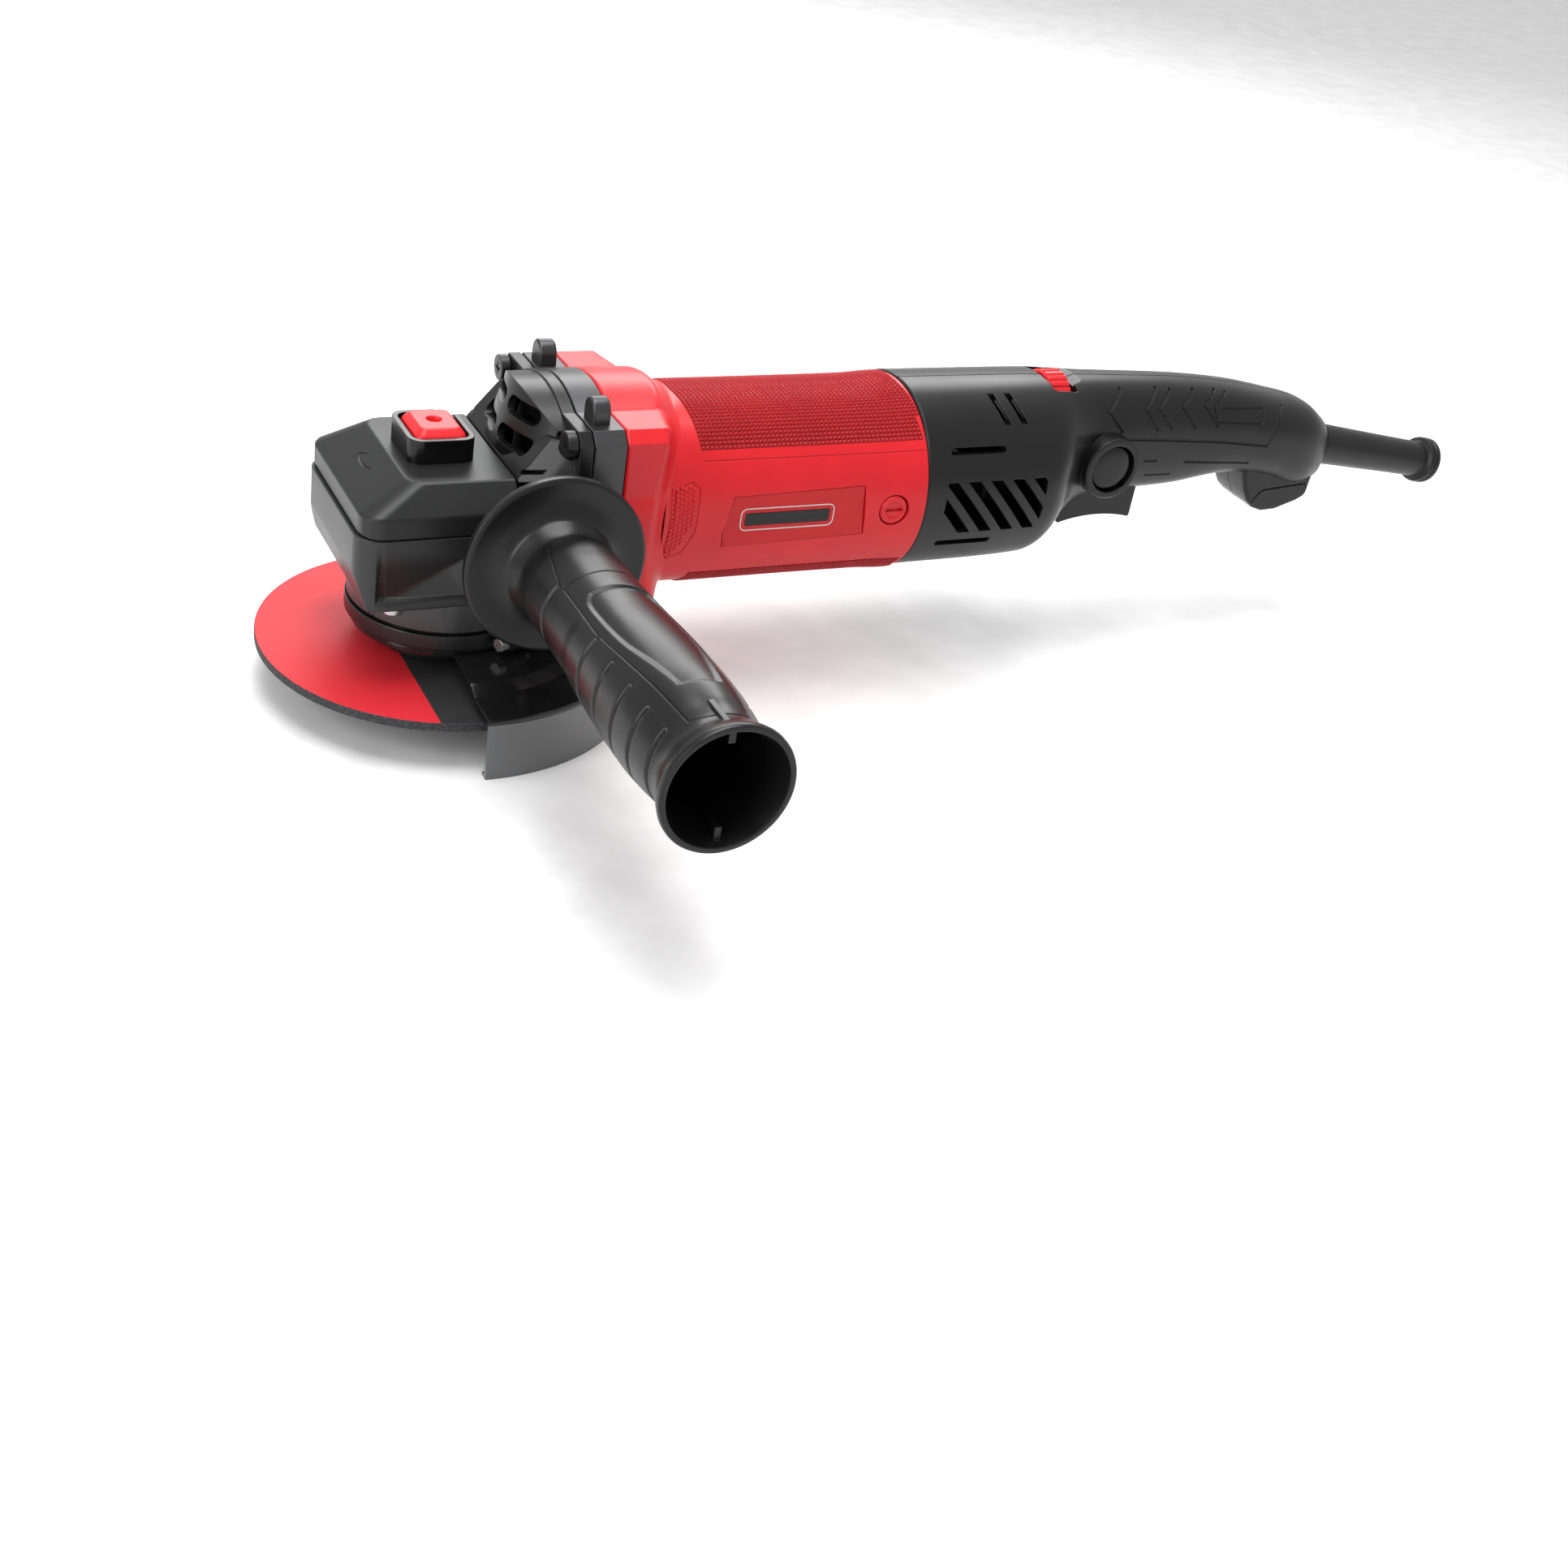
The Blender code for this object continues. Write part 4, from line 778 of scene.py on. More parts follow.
def gear_case():
    split = HEAD_SPLIT
    case = block("case_block", (HEAD_FRONT, -HEAD_HALF, HEAD_LOW), (28.6 * MM, HEAD_HALF, split), 8.6 * MM, 2, 8)
    nose = hull("nose", [
        (x * MM, y, z * MM) for y in (-FAR, FAR) for x, z in ((-36.2, 49.5), (-32.6, 37.0), (-60, 30), (-60, 49.5))
    ])
    shaped(case, cut=[nose])
    rounded(case, 0.6 * MM, 3, 18)
    bell = rounded(hull("case_bell", [
        (x * MM, s * y * MM, z * MM) for s in (-1, 1) for x, y, z in (
            (8, 29, 61.2), (8, 29, 39.2), (28.4, 34.7, 61.2), (28.4, 33, 40), (28.4, 20, 38.6), (10, 24, 39.2))
    ]), 0.8 * MM, 3, 12)
    half = block("lower_half", (-FAR, -FAR, -FAR), (FAR, FAR, split))
    rim = shaped(flange("case_flange", 28.3 * MM, 33.0 * MM), keep=[half])
    bosses = [
        turned("case_boss",
               [(0, 26 * MM), (11 * MM, 26 * MM), (10.6 * MM, 38.6 * MM), (9.7 * MM, 40 * MM), (0, 40 * MM)],
               (HANDLE_X, 0, HANDLE_Z), "-Y", 64) for _ in (0, 1)
    ]
    bosses[1].data.transform(Matrix.Translation((HANDLE_X, 0, 0)) @ Matrix.Rotation(math.pi, 4, "Z")
                             @ Matrix.Translation((-HANDLE_X, 0, 0)))
    shaped(case, add=[bell, rim, *bosses])
    tools = [
        block("gear_room", (-30.5 * MM, -27.5 * MM, 41.5 * MM), (31 * MM, 27.5 * MM, 80 * MM), 8 * MM, 2),
        rod("rear_room", 24 * MM, (20 * MM, 0, MOTOR_Z), (40 * MM, 0, MOTOR_Z)),
        rod("spigot_hole", 20.8 * MM, (0, 0, 30 * MM), (0, 0, 50 * MM)),
        rod("cap_room", 30 * MM, (0, 0, 0), (0, 0, 37.85 * MM), 96),
        *screw_holes(2.4 * MM, 20 * MM, 40 * MM),
    ]
    for s in (-1, 1):
        tools.append(rod("stud_hole", 5.3 * MM, (HANDLE_X, s * 28.5 * MM, HANDLE_Z), (HANDLE_X, s * 50 * MM, HANDLE_Z)))
    crease = [(-30.5, -30.8, 44.6), (-27.5, -31.5, 43.4), (-24.0, -31.55, 43.1), (-20.5, -31.55, 43.2)]
    for s in (1, -1):
        route = [Vector((x * MM, s * y * MM, z * MM)) for x, y, z in crease]
        tools.append(swept("crease", route, [Vector((0, -s, 0))] * 4, 0.28 * MM, 6))
    shaped(case, cut=tools)
    place(case, CASE_PAINT, "machine", "gear_case", slot="head_paint", sharp=28)


def vent_shell(name, shrink=0.0):
    low = 41 * MM if shrink else HEAD_SPLIT + 0.3 * MM
    rear = (38 if shrink else 30.5) * MM
    front = 13.4 * MM + shrink
    points = [(front, 31.2, low), (front, 31.2, 67.5 * MM), (front, 24.5, 76 * MM), (23.5 * MM, 23.5, 88.5 * MM),
              (rear, 30, 88.5 * MM), (rear, 34.5, 80 * MM), (rear, 34.5, low)]
    return hull(name, [
        (x, s * (y * MM - shrink), z - (shrink if z > 65 * MM else 0)) for s in (-1, 1) for x, y, z in points
    ])


def dome(name, shrink=0.0):
    """The rounded nose: a round about the motor axis met by a leaning upright barrel."""
    lean, radius = 0.30, 34 * MM
    low, high = MOTOR_Z + (-10 if shrink else 6) * MM, MOTOR_Z + 45 * MM
    front, level = 14.5 * MM + shrink, MOTOR_Z + 15.4 * MM
    foot = Vector((front + radius + lean * (low - level), 0, low))
    head = Vector((front + radius + lean * (high - level), 0, high))
    barrel = rod(name, radius, foot, head, 128)
    around = rod(name + "_round", 36.5 * MM - shrink, (0, 0, MOTOR_Z), (0.2, 0, MOTOR_Z), 128)
    sides = block(name + "_sides", (0, -22.5 * MM + shrink, low), (29.5 * MM + shrink, 22.5 * MM - shrink, 0.2))
    return shaped(barrel, keep=[around, sides])


def long_hole(y0, y1, z, height):
    """A slot with round ends along Y, cut from the front."""
    r = height / 2
    turns = [math.radians(15 * i) for i in range(24)]
    outline = [((y1 - r if math.cos(t) > 0 else y0 + r) + r * math.cos(t), z + r * math.sin(t)) for t in turns]
    return hull("air_slot", [(x, y, h) for x in (0.0, 25 * MM) for y, h in outline])


def vent_cover():
    shell = rounded(vent_shell("vent_nose"), 0.5 * MM, 2, 12)
    nose = dome("vent_dome")
    half = block("upper_half", (-FAR, -FAR, HEAD_SPLIT + 0.3 * MM), (FAR, FAR, FAR))
    rim = shaped(flange("vent_flange", 28.5 * MM, 33.0 * MM), keep=[half])
    shaped(shell, add=[nose, rim])
    tools = [vent_shell("vent_hollow", WALL), dome("dome_hollow", WALL),
             rod("vent_throat", 33 * MM, (24.5 * MM, 0, MOTOR_Z), (50 * MM, 0, MOTOR_Z), 96)]
    for z, reach in ((91.6, 17.0), (82.6, 18.5)):
        tools.append(long_hole(-reach * MM, -1.3 * MM, z * MM, 5.6 * MM))
        tools.append(long_hole(1.3 * MM, reach * MM, z * MM, 5.6 * MM))
    for s in (-1, 1):
        for k in range(2):
            y, z = 25.6 + 1.0 * k, 78.0 - 3.4 * k
            tools.append(hull("slit", [
                ((x + dx) * MM, s * (y + dy) * MM, (z + dz) * MM) for x in (8, 26)
                for dx, dy, dz in ((0, -2.8, -1.0), (0, -2.8, 0.3), (0, 2.4, 1.0), (0, 2.4, 2.3))
            ]))
        tools.append(rod("boss_room", 11 * MM, (HANDLE_X, s * 26 * MM, HANDLE_Z), (HANDLE_X, s * 50 * MM, HANDLE_Z)))
    tools += screw_holes(2.4 * MM, 20 * MM, 40 * MM) + screw_holes(5.0 * MM, 15 * MM, 28.5 * MM)
    shaped(shell, cut=tools)
    place(shell, BLACK, "machine", "vent_cover", slot="black_plastic", sharp=24)


def bearing_plate():
    plate = flange("bearing_plate_rim", 33.3 * MM, 43.7 * MM, 0.25 * MM)
    tools = [rod("fan_eye", 30 * MM, (39 * MM, 0, MOTOR_Z), (50 * MM, 0, MOTOR_Z)),
             rod("bearing_seat", 14.1 * MM, (34.2 * MM, 0, MOTOR_Z), (50 * MM, 0, MOTOR_Z)),
             rod("shaft_eye", 9.5 * MM, (30 * MM, 0, MOTOR_Z), (50 * MM, 0, MOTOR_Z)),
             *screw_holes(2.4 * MM, 30 * MM, 50 * MM)]
    for i in range(6):
        a = math.radians(30 + 60 * i)
        y, z = 21.5 * MM * math.cos(a), MOTOR_Z + 21.5 * MM * math.sin(a)
        tools.append(rod("air_hole", 5.8 * MM, (30 * MM, y, z), (50 * MM, y, z), 24))
    shaped(plate, cut=tools)
    place(plate, PLATE_METAL, "machine", "bearing_plate", slot="aluminium", sharp=24)
    for side, word in ((-1, "right"), (1, "left")):
        y = side * 23.5
        arch = [(y - 4.2 * math.cos(t), 97.2 + 4.3 * math.sin(t)) for t in (math.radians(20 * k) for k in range(10))]
        outline = [(y + 4.2, 86.0), (y - 4.2, 86.0), *arch]
        tab = prism("lifting_tab_" + word, [(a * MM, b * MM) for a, b in outline], 0, 34.8 * MM, 40.6 * MM)
        rounded(tab, 0.9 * MM, 3, 40)
        place(tab, PLATE_METAL, "machine", slot="aluminium")


def cross_screw(name, head, depth):
    """A cheese-head screw with a cross recess; its axis is +Z and its underside is at z 0."""
    body = turned(name, [
        (0, depth), (head - 0.5 * MM, depth), (head - 0.12 * MM, depth - 0.12 * MM), (head, depth - 0.5 * MM),
        (head, 0.2 * MM), (head - 0.2 * MM, 0), (0, 0),
    ], steps=40)
    arms = []
    for turn in (0, 1):
        half = (2.4 * MM, 0.55 * MM) if turn else (0.55 * MM, 2.4 * MM)
        arms.append(hull("arm", [
            (sx * half[0] * k, sy * half[1] * k, z) for sx in (-1, 1) for sy in (-1, 1)
            for k, z in ((1.0, depth + 1 * MM), (0.5, depth - 1.6 * MM))
        ]))
    return shaped(body, cut=arms)


def screw_set(name, places, head, depth, finish, *nodes):
    """One screw head repeated at (point, direction) places."""
    shape = cross_screw(name + "_one", head, depth)
    tree = Tree(name + "_tree")
    facing = tree.add("GeometryNodeInputNamedAttribute", {"data_type": "FLOAT_VECTOR"}, {"Name": "upright"})
    turn = tree.add("FunctionNodeAlignRotationToVector", {"axis": "Z"}, {"Vector": facing.outputs["Attribute"]})
    model = tree.add("GeometryNodeObjectInfo", {}, {"Object": shape})
    put = tree.add("GeometryNodeInstanceOnPoints", {}, {
        "Points": tree.source.outputs[0], "Instance": model.outputs["Geometry"], "Rotation": turn.outputs[0]})
    whole = tree.add("GeometryNodeRealizeInstances", {}, {"Geometry": put.outputs[0]})
    painted = tree.add("GeometryNodeSetMaterial", {}, {"Geometry": whole.outputs[0], "Material": finish.material})
    tree.group.links.new(painted.outputs[0], tree.result.inputs[0])
    mesh = bpy.data.meshes.new(name)
    mesh.from_pydata([point for point, _ in places], [], [])
    store = mesh.attributes.new("upright", "FLOAT_VECTOR", "POINT")
    store.data.foreach_set("vector", [c for _, direction in places for c in direction])
    piece = bpy.data.objects.new(name, mesh)
    bpy.context.scene.collection.objects.link(piece)
    step = piece.modifiers.new("repeat", "NODES")
    step.node_group = tree.group
    settle(piece)
    bpy.data.objects.remove(shape)
    return place(piece, finish, "machine", *nodes)


def screws():
    front = [((28.2 * MM, s * SCREW_Y, MOTOR_Z + v * SCREW_DZ), (-1, 0, 0)) for s in (-1, 1) for v in (-1, 1)]
    screw_set("head_screws", front, 4.2 * MM, 3.2 * MM, DARK_STEEL, "head_screw_1", "head_screw_2", "head_screw_3",
              "head_screw_4")
    under = [((x * MM, y * MM, 36.1 * MM), (0, 0, -1)) for x in (-22.8, 22.8) for y in (-23.8, 23.8)]
    screw_set("cap_screws", under, 3.2 * MM, 2.2 * MM, STEEL,
              "cap_screw_1", "cap_screw_2", "cap_screw_3", "cap_screw_4")


def bearing_cap():
    cap = turned("bearing_cap_ring", [(r * MM, z * MM) for r, z in (
        (20.2, 40.5), (20.2, 37.7), (28.9, 37.7), (29.5, 37.1), (29.5, 27.6), (28.9, 27.0), (26.5, 27.0), (26.5, 23.0),
        (13.0, 23.0), (13.0, 27.2), (15.8, 27.2), (15.8, 40.5),
    )], steps=128)
    plate = block("cap_plate", (-27.5 * MM, -28.5 * MM, 36.4 * MM), (27.5 * MM, 28.5 * MM, 37.7 * MM), 6 * MM, 2, 6)
    eye = rod("cap_eye", 19.5 * MM, (0, 0, 30 * MM), (0, 0, 45 * MM), 96)
    shaped(plate, cut=[eye])
    shaped(cap, add=[plate])
    grooves = []
    for degrees in (-63, 27, 117, 207):
        a = math.radians(degrees)
        x, y = 30.2 * MM * math.cos(a), 30.2 * MM * math.sin(a)
        grooves.append(rod("cap_groove", 1.6 * MM, (x, y, 20 * MM), (x, y, 36.2 * MM), 20))
    shaped(cap, cut=grooves)
    place(cap, CAP_METAL, "machine", "bearing_cap", slot="aluminium")


# Disc, flanges and guard
def disc_group():
    low, top, radius = 9 * MM, 12 * MM, 57.5 * MM
    edge = 0.25 * MM
    disc = turned("abrasive_disc", [
        (11.11 * MM, top), (radius - edge, top), (radius, top - edge), (radius, low + edge), (radius - edge, low),
        (11.11 * MM, low),
    ], steps=180)
    place(disc, DISC, "spindle_set", "grinding_disc", slot="disc_abrasive")
    inner = turned("clamp_flange", [(r * MM, z * MM) for r, z in (
        (12.0, 22.5), (12.0, 18.9), (13.0, 18.3), (19.4, 17.1), (20.0, 16.5), (20.0, 12.3), (7.3, 12.3), (7.3, 22.5))])
    place(inner, DARK_STEEL, "spindle_set", "inner_flange", slot="black_steel")
    nut = turned("flange_nut", [(r * MM, z * MM) for r, z in (
        (10.5, 11.7), (10.5, 8.7), (17.6, 8.7), (18.0, 8.3), (18.0, 5.6), (17.6, 4.9), (16.4, 1.9), (15.9, 1.5),
        (7.3, 1.5), (7.3, 11.7))])
    pins = [rod("spanner_hole", 2.2 * MM, (12.5 * MM * math.cos(a), 12.5 * MM * math.sin(a), 0),
                (12.5 * MM * math.cos(a), 12.5 * MM * math.sin(a), 4.5 * MM), 24)
            for a in (math.radians(45 + 90 * k) for k in range(4))]
    shaped(nut, cut=pins)
    place(nut, DARK_STEEL, "spindle_set", "outer_nut", slot="black_steel")
    threads = [(6.6 + 0.4 * (k % 2), 1.0 + 0.75 * k) for k in range(21)]
    shaft = [(0, 70), (5, 70), (5, 57.5), (7, 57.5), (7, 17)] + threads[::-1] + [(6.2, 0.0), (0, 0)]
    place(turned("spindle_shaft", [(r * MM, z * MM) for r, z in shaft], steps=64), STEEL, "spindle_set", "spindle",
          slot="steel")


def guard():
    bead = [(63.0 + 1.0 * math.sin(math.radians(t)), 15.3 + 1.0 * math.cos(math.radians(t))) for t in range(0, 91, 15)]
    inner_bead = [(62.7 - 1.0 + 1.0 * math.sin(math.radians(t)), 14.0 + 1.0 * math.cos(math.radians(t)))
                  for t in range(90, -1, -15)]
    outline = [(28.2, 26.7), (28.2, 20.2), (28.7, 19.8), (44.6, 18.9), (45.6, 18.6), (49.4, 16.6), (50.4, 16.3), *bead,
               (64.0, -4.5), (61.0, -4.5), (60.6, -3.8), (61.0, -3.2), (62.7, -3.2), *inner_bead,
               (50.2, 15.0), (49.2, 15.2), (45.2, 17.4), (44.4, 17.6), (26.9, 18.5), (26.9, 26.7)]
    shell = turned("guard_shell", [(r * MM, z * MM) for r, z in outline], steps=180)
    front = block("guard_front", (-FAR, -FAR, -FAR), (-4 * MM, FAR, 19.85 * MM))
    keep = rod("collar_room", 28.25 * MM, (0, 0, 18.4 * MM), (0, 0, 30 * MM), 180)
    shaped(front, cut=[keep])
    shaped(shell, cut=[front])
    place(shell, GUARD_PAINT, "guard_set", "guard", slot="guard_steel")
    angle = math.radians(-62)
    out, side = Vector((math.cos(angle), math.sin(angle), 0)), Vector((-math.sin(angle), math.cos(angle), 0))
    band = turned("clamp_band", [(28.5 * MM, 26.4 * MM), (29.8 * MM, 26.4 * MM), (30.0 * MM, 26.1 * MM),
                                 (30.0 * MM, 21.8 * MM), (29.8 * MM, 21.5 * MM), (28.5 * MM, 21.5 * MM)], steps=144)
    ears = hull("ears", [out * r * MM + side * s * MM + Vector((0, 0, z * MM))
                         for r in (29.2, 35.5) for s in (-4.5, 4.5) for z in (21.5, 26.4)])
    gap = hull("gap", [out * r * MM + side * s * MM + Vector((0, 0, z * MM))
                       for r in (27, 40) for s in (-1.2, 1.2) for z in (10, 30)])
    shaped(band, add=[rounded(ears, 0.8 * MM, 3, 30)])
    shaped(band, cut=[gap])
    place(band, DARK_STEEL, "guard_set", "guard_clamp_band", slot="black_steel")
    middle = out * 33 * MM + Vector((0, 0, 23.95 * MM))
    head = rod("clamp_screw_head", 2.3 * MM, middle - side * 7.8 * MM, middle - side * 4.8 * MM, 6)
    shank = rod("clamp_shank", 1.5 * MM, middle - side * 5 * MM, middle + side * 6.5 * MM, 24)
    place(shaped(head, add=[shank]), STEEL, "guard_set", "guard_clamp_screw", slot="steel")


# Rear housing: two halves split down the middle
REAR_X = [155.3, 206.5, 212.5, 221.5, 231.5, 245.5, 275, 300, 320, 336, 346.5]
REAR_TOP = [95.1, 94.7, 94.5, 94.3, 93.9, 93.3, 91.8, 89.0, 85.2, 81.2, 74.5]
REAR_BOTTOM = [29.0, 30.1, 32.8, 41.2, 48.2, 50.6, 51.8, 55.2, 53.0, 48.0, 50.0]
REAR_HALF = [32.8, 32.3, 30.2, 22.8, 18.8, 17.5, 16.5, 16.5, 16.5, 15.0, 11.0]


def rear_section(x):
    """Top, bottom and half width at x, eased between the stations."""
    return [through(list(zip(REAR_X, values)), x) for values in (REAR_TOP, REAR_BOTTOM, REAR_HALF)]


def rear_point(x, turn, inset=0.0):
    top, bottom, half = rear_section(x / MM)
    q = 2.1 + 0.4 * smoothstep(206 * MM, 226 * MM, x)
    middle, tall = (top + bottom) / 2 * MM, (top - bottom) / 2 * MM - inset
    across, up = abs(math.sin(turn)), abs(math.cos(turn))
    reach = 1 / (across**q + up**q) ** (1 / q)
    return Vector((x, -(half * MM - inset) * reach * math.sin(turn), middle + tall * reach * math.cos(turn)))


def rear_frame(x, turn):
    point = rear_point(x, turn)
    ahead = (rear_point(x + 0.4 * MM, turn) - point).normalized()
    beside = rear_point(x, turn + 0.01) - point
    normal = beside.cross(ahead).normalized()
    middle = Vector((x, 0, sum(rear_section(x / MM)[:2]) / 2 * MM))
    return point, (normal if normal.dot(point - middle) > 0 else -normal), ahead


def turn_at(x, z, side):
    """The turn at which the rear housing reaches the height z on one side (side -1 is +Y)."""
    low, high = 0.0, math.pi
    for _ in range(30):
        half = (low + high) / 2
        if rear_point(x, half).z > z:
            low = half
        else:
            high = half
    return -low if side < 0 else low


def rear_shell(name):
    turns = [2 * math.pi * k / 120 for k in range(120)]

    def rows(xs, inset):
        made = []
        for x in xs:
            made.append([rear_point(x, t, inset) for t in turns])
        return made

    xs = [155.3 * MM, 155.9 * MM] + steps(158 * MM, 343 * MM, 2 * MM) + [343 * MM, 345.3 * MM, 346.5 * MM]
    outer = rows(xs, 0.0)
    outer[0] = [rear_point(xs[0], t, 0.5 * MM) for t in turns]
    outer[-1] = [rear_point(xs[-1], t, 1.2 * MM) for t in turns]
    shell = skin(name, outer)
    hollow = skin(name + "_hollow", rows([150 * MM] + steps(158 * MM, 343 * MM, 6 * MM) + [343.6 * MM], WALL))
    return shell, hollow


def pommel_hull(name, shrink=0.0):
    line = [(309, 58), (310.4, 53.5), (312.6, 48.4), (315.2, 44.2), (318.6, 41.3), (323.5, 39.6), (330, 39.9),
            (339.5, 43.0), (342.6, 44.6), (343.6, 46.4), (344.4, 56), (335, 65)]
    inner = [(x * MM + (shrink if x < 320 else -shrink), max(z * MM, 39.6 * MM + 1.4 * shrink)) for x, z in line]
    return hull(name, [(x, s * (10.5 * MM - shrink), z) for s in (-1, 1) for x, z in inner])


def side_groove(name, corners, side, radius=0.5 * MM, step=2.5):
    """A groove through (x, z) corners in millimetres on one side of the rear housing."""
    route = []
    for x, z in resampled(corners, step):
        point, normal, _ = rear_frame(x * MM, turn_at(x * MM, z * MM, side))
        route.append((point, normal))
    return swept(name, [p for p, _ in route], [n for _, n in route], radius, 6)


def grip_grooves(side):
    lines = []
    for kink, top in ((235.0, 92.0), (251.4, 91.6), (257.5, 91.0), (268.3, 90.5), (278.7, 89.8)):
        lines.append(([(kink + 7.5, top), (kink, 85.8), (kink + 6.8, 78.2)], 0.6))
    lines += [
        ([(291.0, 89.0), (283.5, 85.5), (284.3, 80.3), (306.4, 78.8), (307.4, 83.6), (287.0, 84.6)], 0.5),
        ([(317.2, 83.6), (315.3, 79.1), (310.8, 70.2), (290, 72.6), (241.8, 76.2)], 0.6),
        ([(254.5, 67.0), (260.8, 66.7)], 0.5), ([(257.8, 60.6), (269.9, 60.2)], 0.5),
        ([(273.7, 65.5), (305.6, 62.8)], 0.6),
    ]
    return [side_groove("grip_line", line, side, radius * MM) for line, radius in lines]


def side_openings(side):
    """The air openings of one half: a slanted grille, slots along it, two slits near the top."""
    tools = []
    reach = sorted((side * 24 * MM, side * 50 * MM))
    for i in range(-1, 5):
        x = (162.1 + 8.8 * i) * MM
        slot = hull("grille", [(x + dx * MM + lean * MM, y, z * MM) for y in reach for dx in (0.0, 4.8)
                               for lean, z in ((0.0, 70.0), (17.8, 51.0))])
        field = block("grille_field", (163 * MM, -60 * MM, 48 * MM), (203.4 * MM, 60 * MM, 73 * MM))
        tools.append(shaped(slot, keep=[field]))
    for z in (78.5, 45.5):
        tools.append(block("long_slot",
                           (164 * MM, reach[0], z * MM), (186 * MM, reach[1], (z + 2.2) * MM), 1.0 * MM, 1, 4))
    high = sorted((side * 12 * MM, side * 40 * MM))
    for i in range(2):
        x = (183.0 + 6.8 * i) * MM
        tools.append(hull("slit", [(x + dx * MM + lean * MM, y, z * MM) for y in high for dx in (0.0, 2.6)
                                   for lean, z in ((0, 96), (4, 86))]))
    frame_line = [(165.0, 72.8), (205.5, 72.4), (205.8, 54.0), (201.5, 48.8), (160.5, 48.6), (160.2, 67.5),
                  (165.0, 72.8)]
    tools.append(side_groove("grille_line", frame_line, side, 0.45 * MM))
    return tools


def rear_housing():
    for side, word in ((-1, "right"), (1, "left")):
        turn_side = 1 if side < 0 else -1
        shell, hollow = rear_shell("rear_shell_" + word)
        tools = [hollow, pommel_hull("pommel_hollow", WALL)]
        shaped(shell, add=[rounded(pommel_hull("pommel"), 1.6 * MM, 4, 30)])
        tools += [
            block("trigger_room", (228.5 * MM, -8.8 * MM, 0), (264 * MM, 8.8 * MM, 62 * MM), 1.5 * MM, 2, 4),
            block("pivot_room", (219 * MM, -8.8 * MM, 50 * MM), (230 * MM, 8.8 * MM, 62 * MM)),
            rod("boot_hole", 7.0 * MM, (320 * MM, 0, 67.6 * MM), (360 * MM, 0, 60.8 * MM)),
            block("dial_room", (213 * MM, -11.5 * MM, 70 * MM), (223 * MM, 11.5 * MM, 0.12), 1.5 * MM, 2, 4),
        ]
        scoop = hull("dial_scoop", [(x * MM, y * MM, z * MM) for x, y, z in (
            (222, -8, 92.2), (222, 8, 92.2), (229, -5, 94.6), (229, 5, 94.6), (222, -9, 100), (222, 9, 100),
            (231, 0, 100))])
        tools.append(scoop)
        tools += side_openings(side)
        tools += grip_grooves(turn_side)
        tools += [swept("pommel_line", [Vector((x * MM, side * 10.45 * MM, z * MM)) for x, z in resampled(line, 2.5)],
                        [Vector((0, side, 0))] * len(resampled(line, 2.5)), 0.5 * MM, 6)
                  for line in (
                      [(315.8, 42.2), (319.2, 47.4), (321.2, 49.0), (340.6, 50.6), (342.6, 48.7), (342.1, 45)],)]
        if side < 0:
            ring_piece = turned("lock_ring", [
                (0, 16 * MM), (11.6 * MM, 16 * MM), (11.2 * MM, 23.2 * MM), (10.6 * MM, 23.8 * MM), (0, 23.8 * MM)],
                (236.5 * MM, 0, 67.5 * MM), "-Y", 64)
            shaped(shell, cut=tools)
            shaped(shell, add=[ring_piece])
            tools = [rod("lock_hole", 8.8 * MM, (236.5 * MM, -50 * MM, 67.5 * MM), (236.5 * MM, -12.5 * MM, 67.5 * MM))]
        near, far = sorted((side * SEAM, side * 0.1))
        shaped(shell, cut=tools)
        shaped(shell, keep=[block("half_space", (0.1, near, -0.1), (0.5, far, 0.3))])
        place(shell, BLACK, "machine", "rear_housing_" + word, slot="black_plastic", sharp=34)


def trigger():
    lever = block("trigger_lever", (229 * MM, -8 * MM, 39.5 * MM), (261.7 * MM, 8 * MM, 56 * MM), 2.2 * MM, 1, 5)
    shaped(lever, cut=[rod("belly", 60 * MM, (247 * MM, -50 * MM, -17.8 * MM), (247 * MM, 50 * MM, -17.8 * MM), 180)])
    arm = hull("trigger_arm", [(x * MM, s * 8 * MM, z * MM) for s in (-1, 1) for x, z in (
        (223.5, 53.5), (223.5, 58.5), (228.5, 60), (233, 56), (233, 52), (229.5, 50))])
    shaped(lever, add=[arm])
    shaped(lever, cut=[rod("pivot_eye", 1.8 * MM, (226 * MM, -20 * MM, 56 * MM), (226 * MM, 20 * MM, 56 * MM), 24)])
    place(lever, BLACK, "trigger_lever", "trigger", slot="black_plastic", sharp=30)


def lock_on():
    cap = turned("lock_on_cap", [
        (0, 23.2 * MM), (4.5 * MM, 23.12 * MM), (6.6 * MM, 22.9 * MM), (7.8 * MM, 22.5 * MM), (8.3 * MM, 21.8 * MM),
        (8.3 * MM, 15.0 * MM), (0, 15.0 * MM)], (236.5 * MM, 0, 67.5 * MM), "-Y", 64)
    place(cap, GLOSS_BLACK, "lock_on", "lock_on_button", slot="black_plastic")


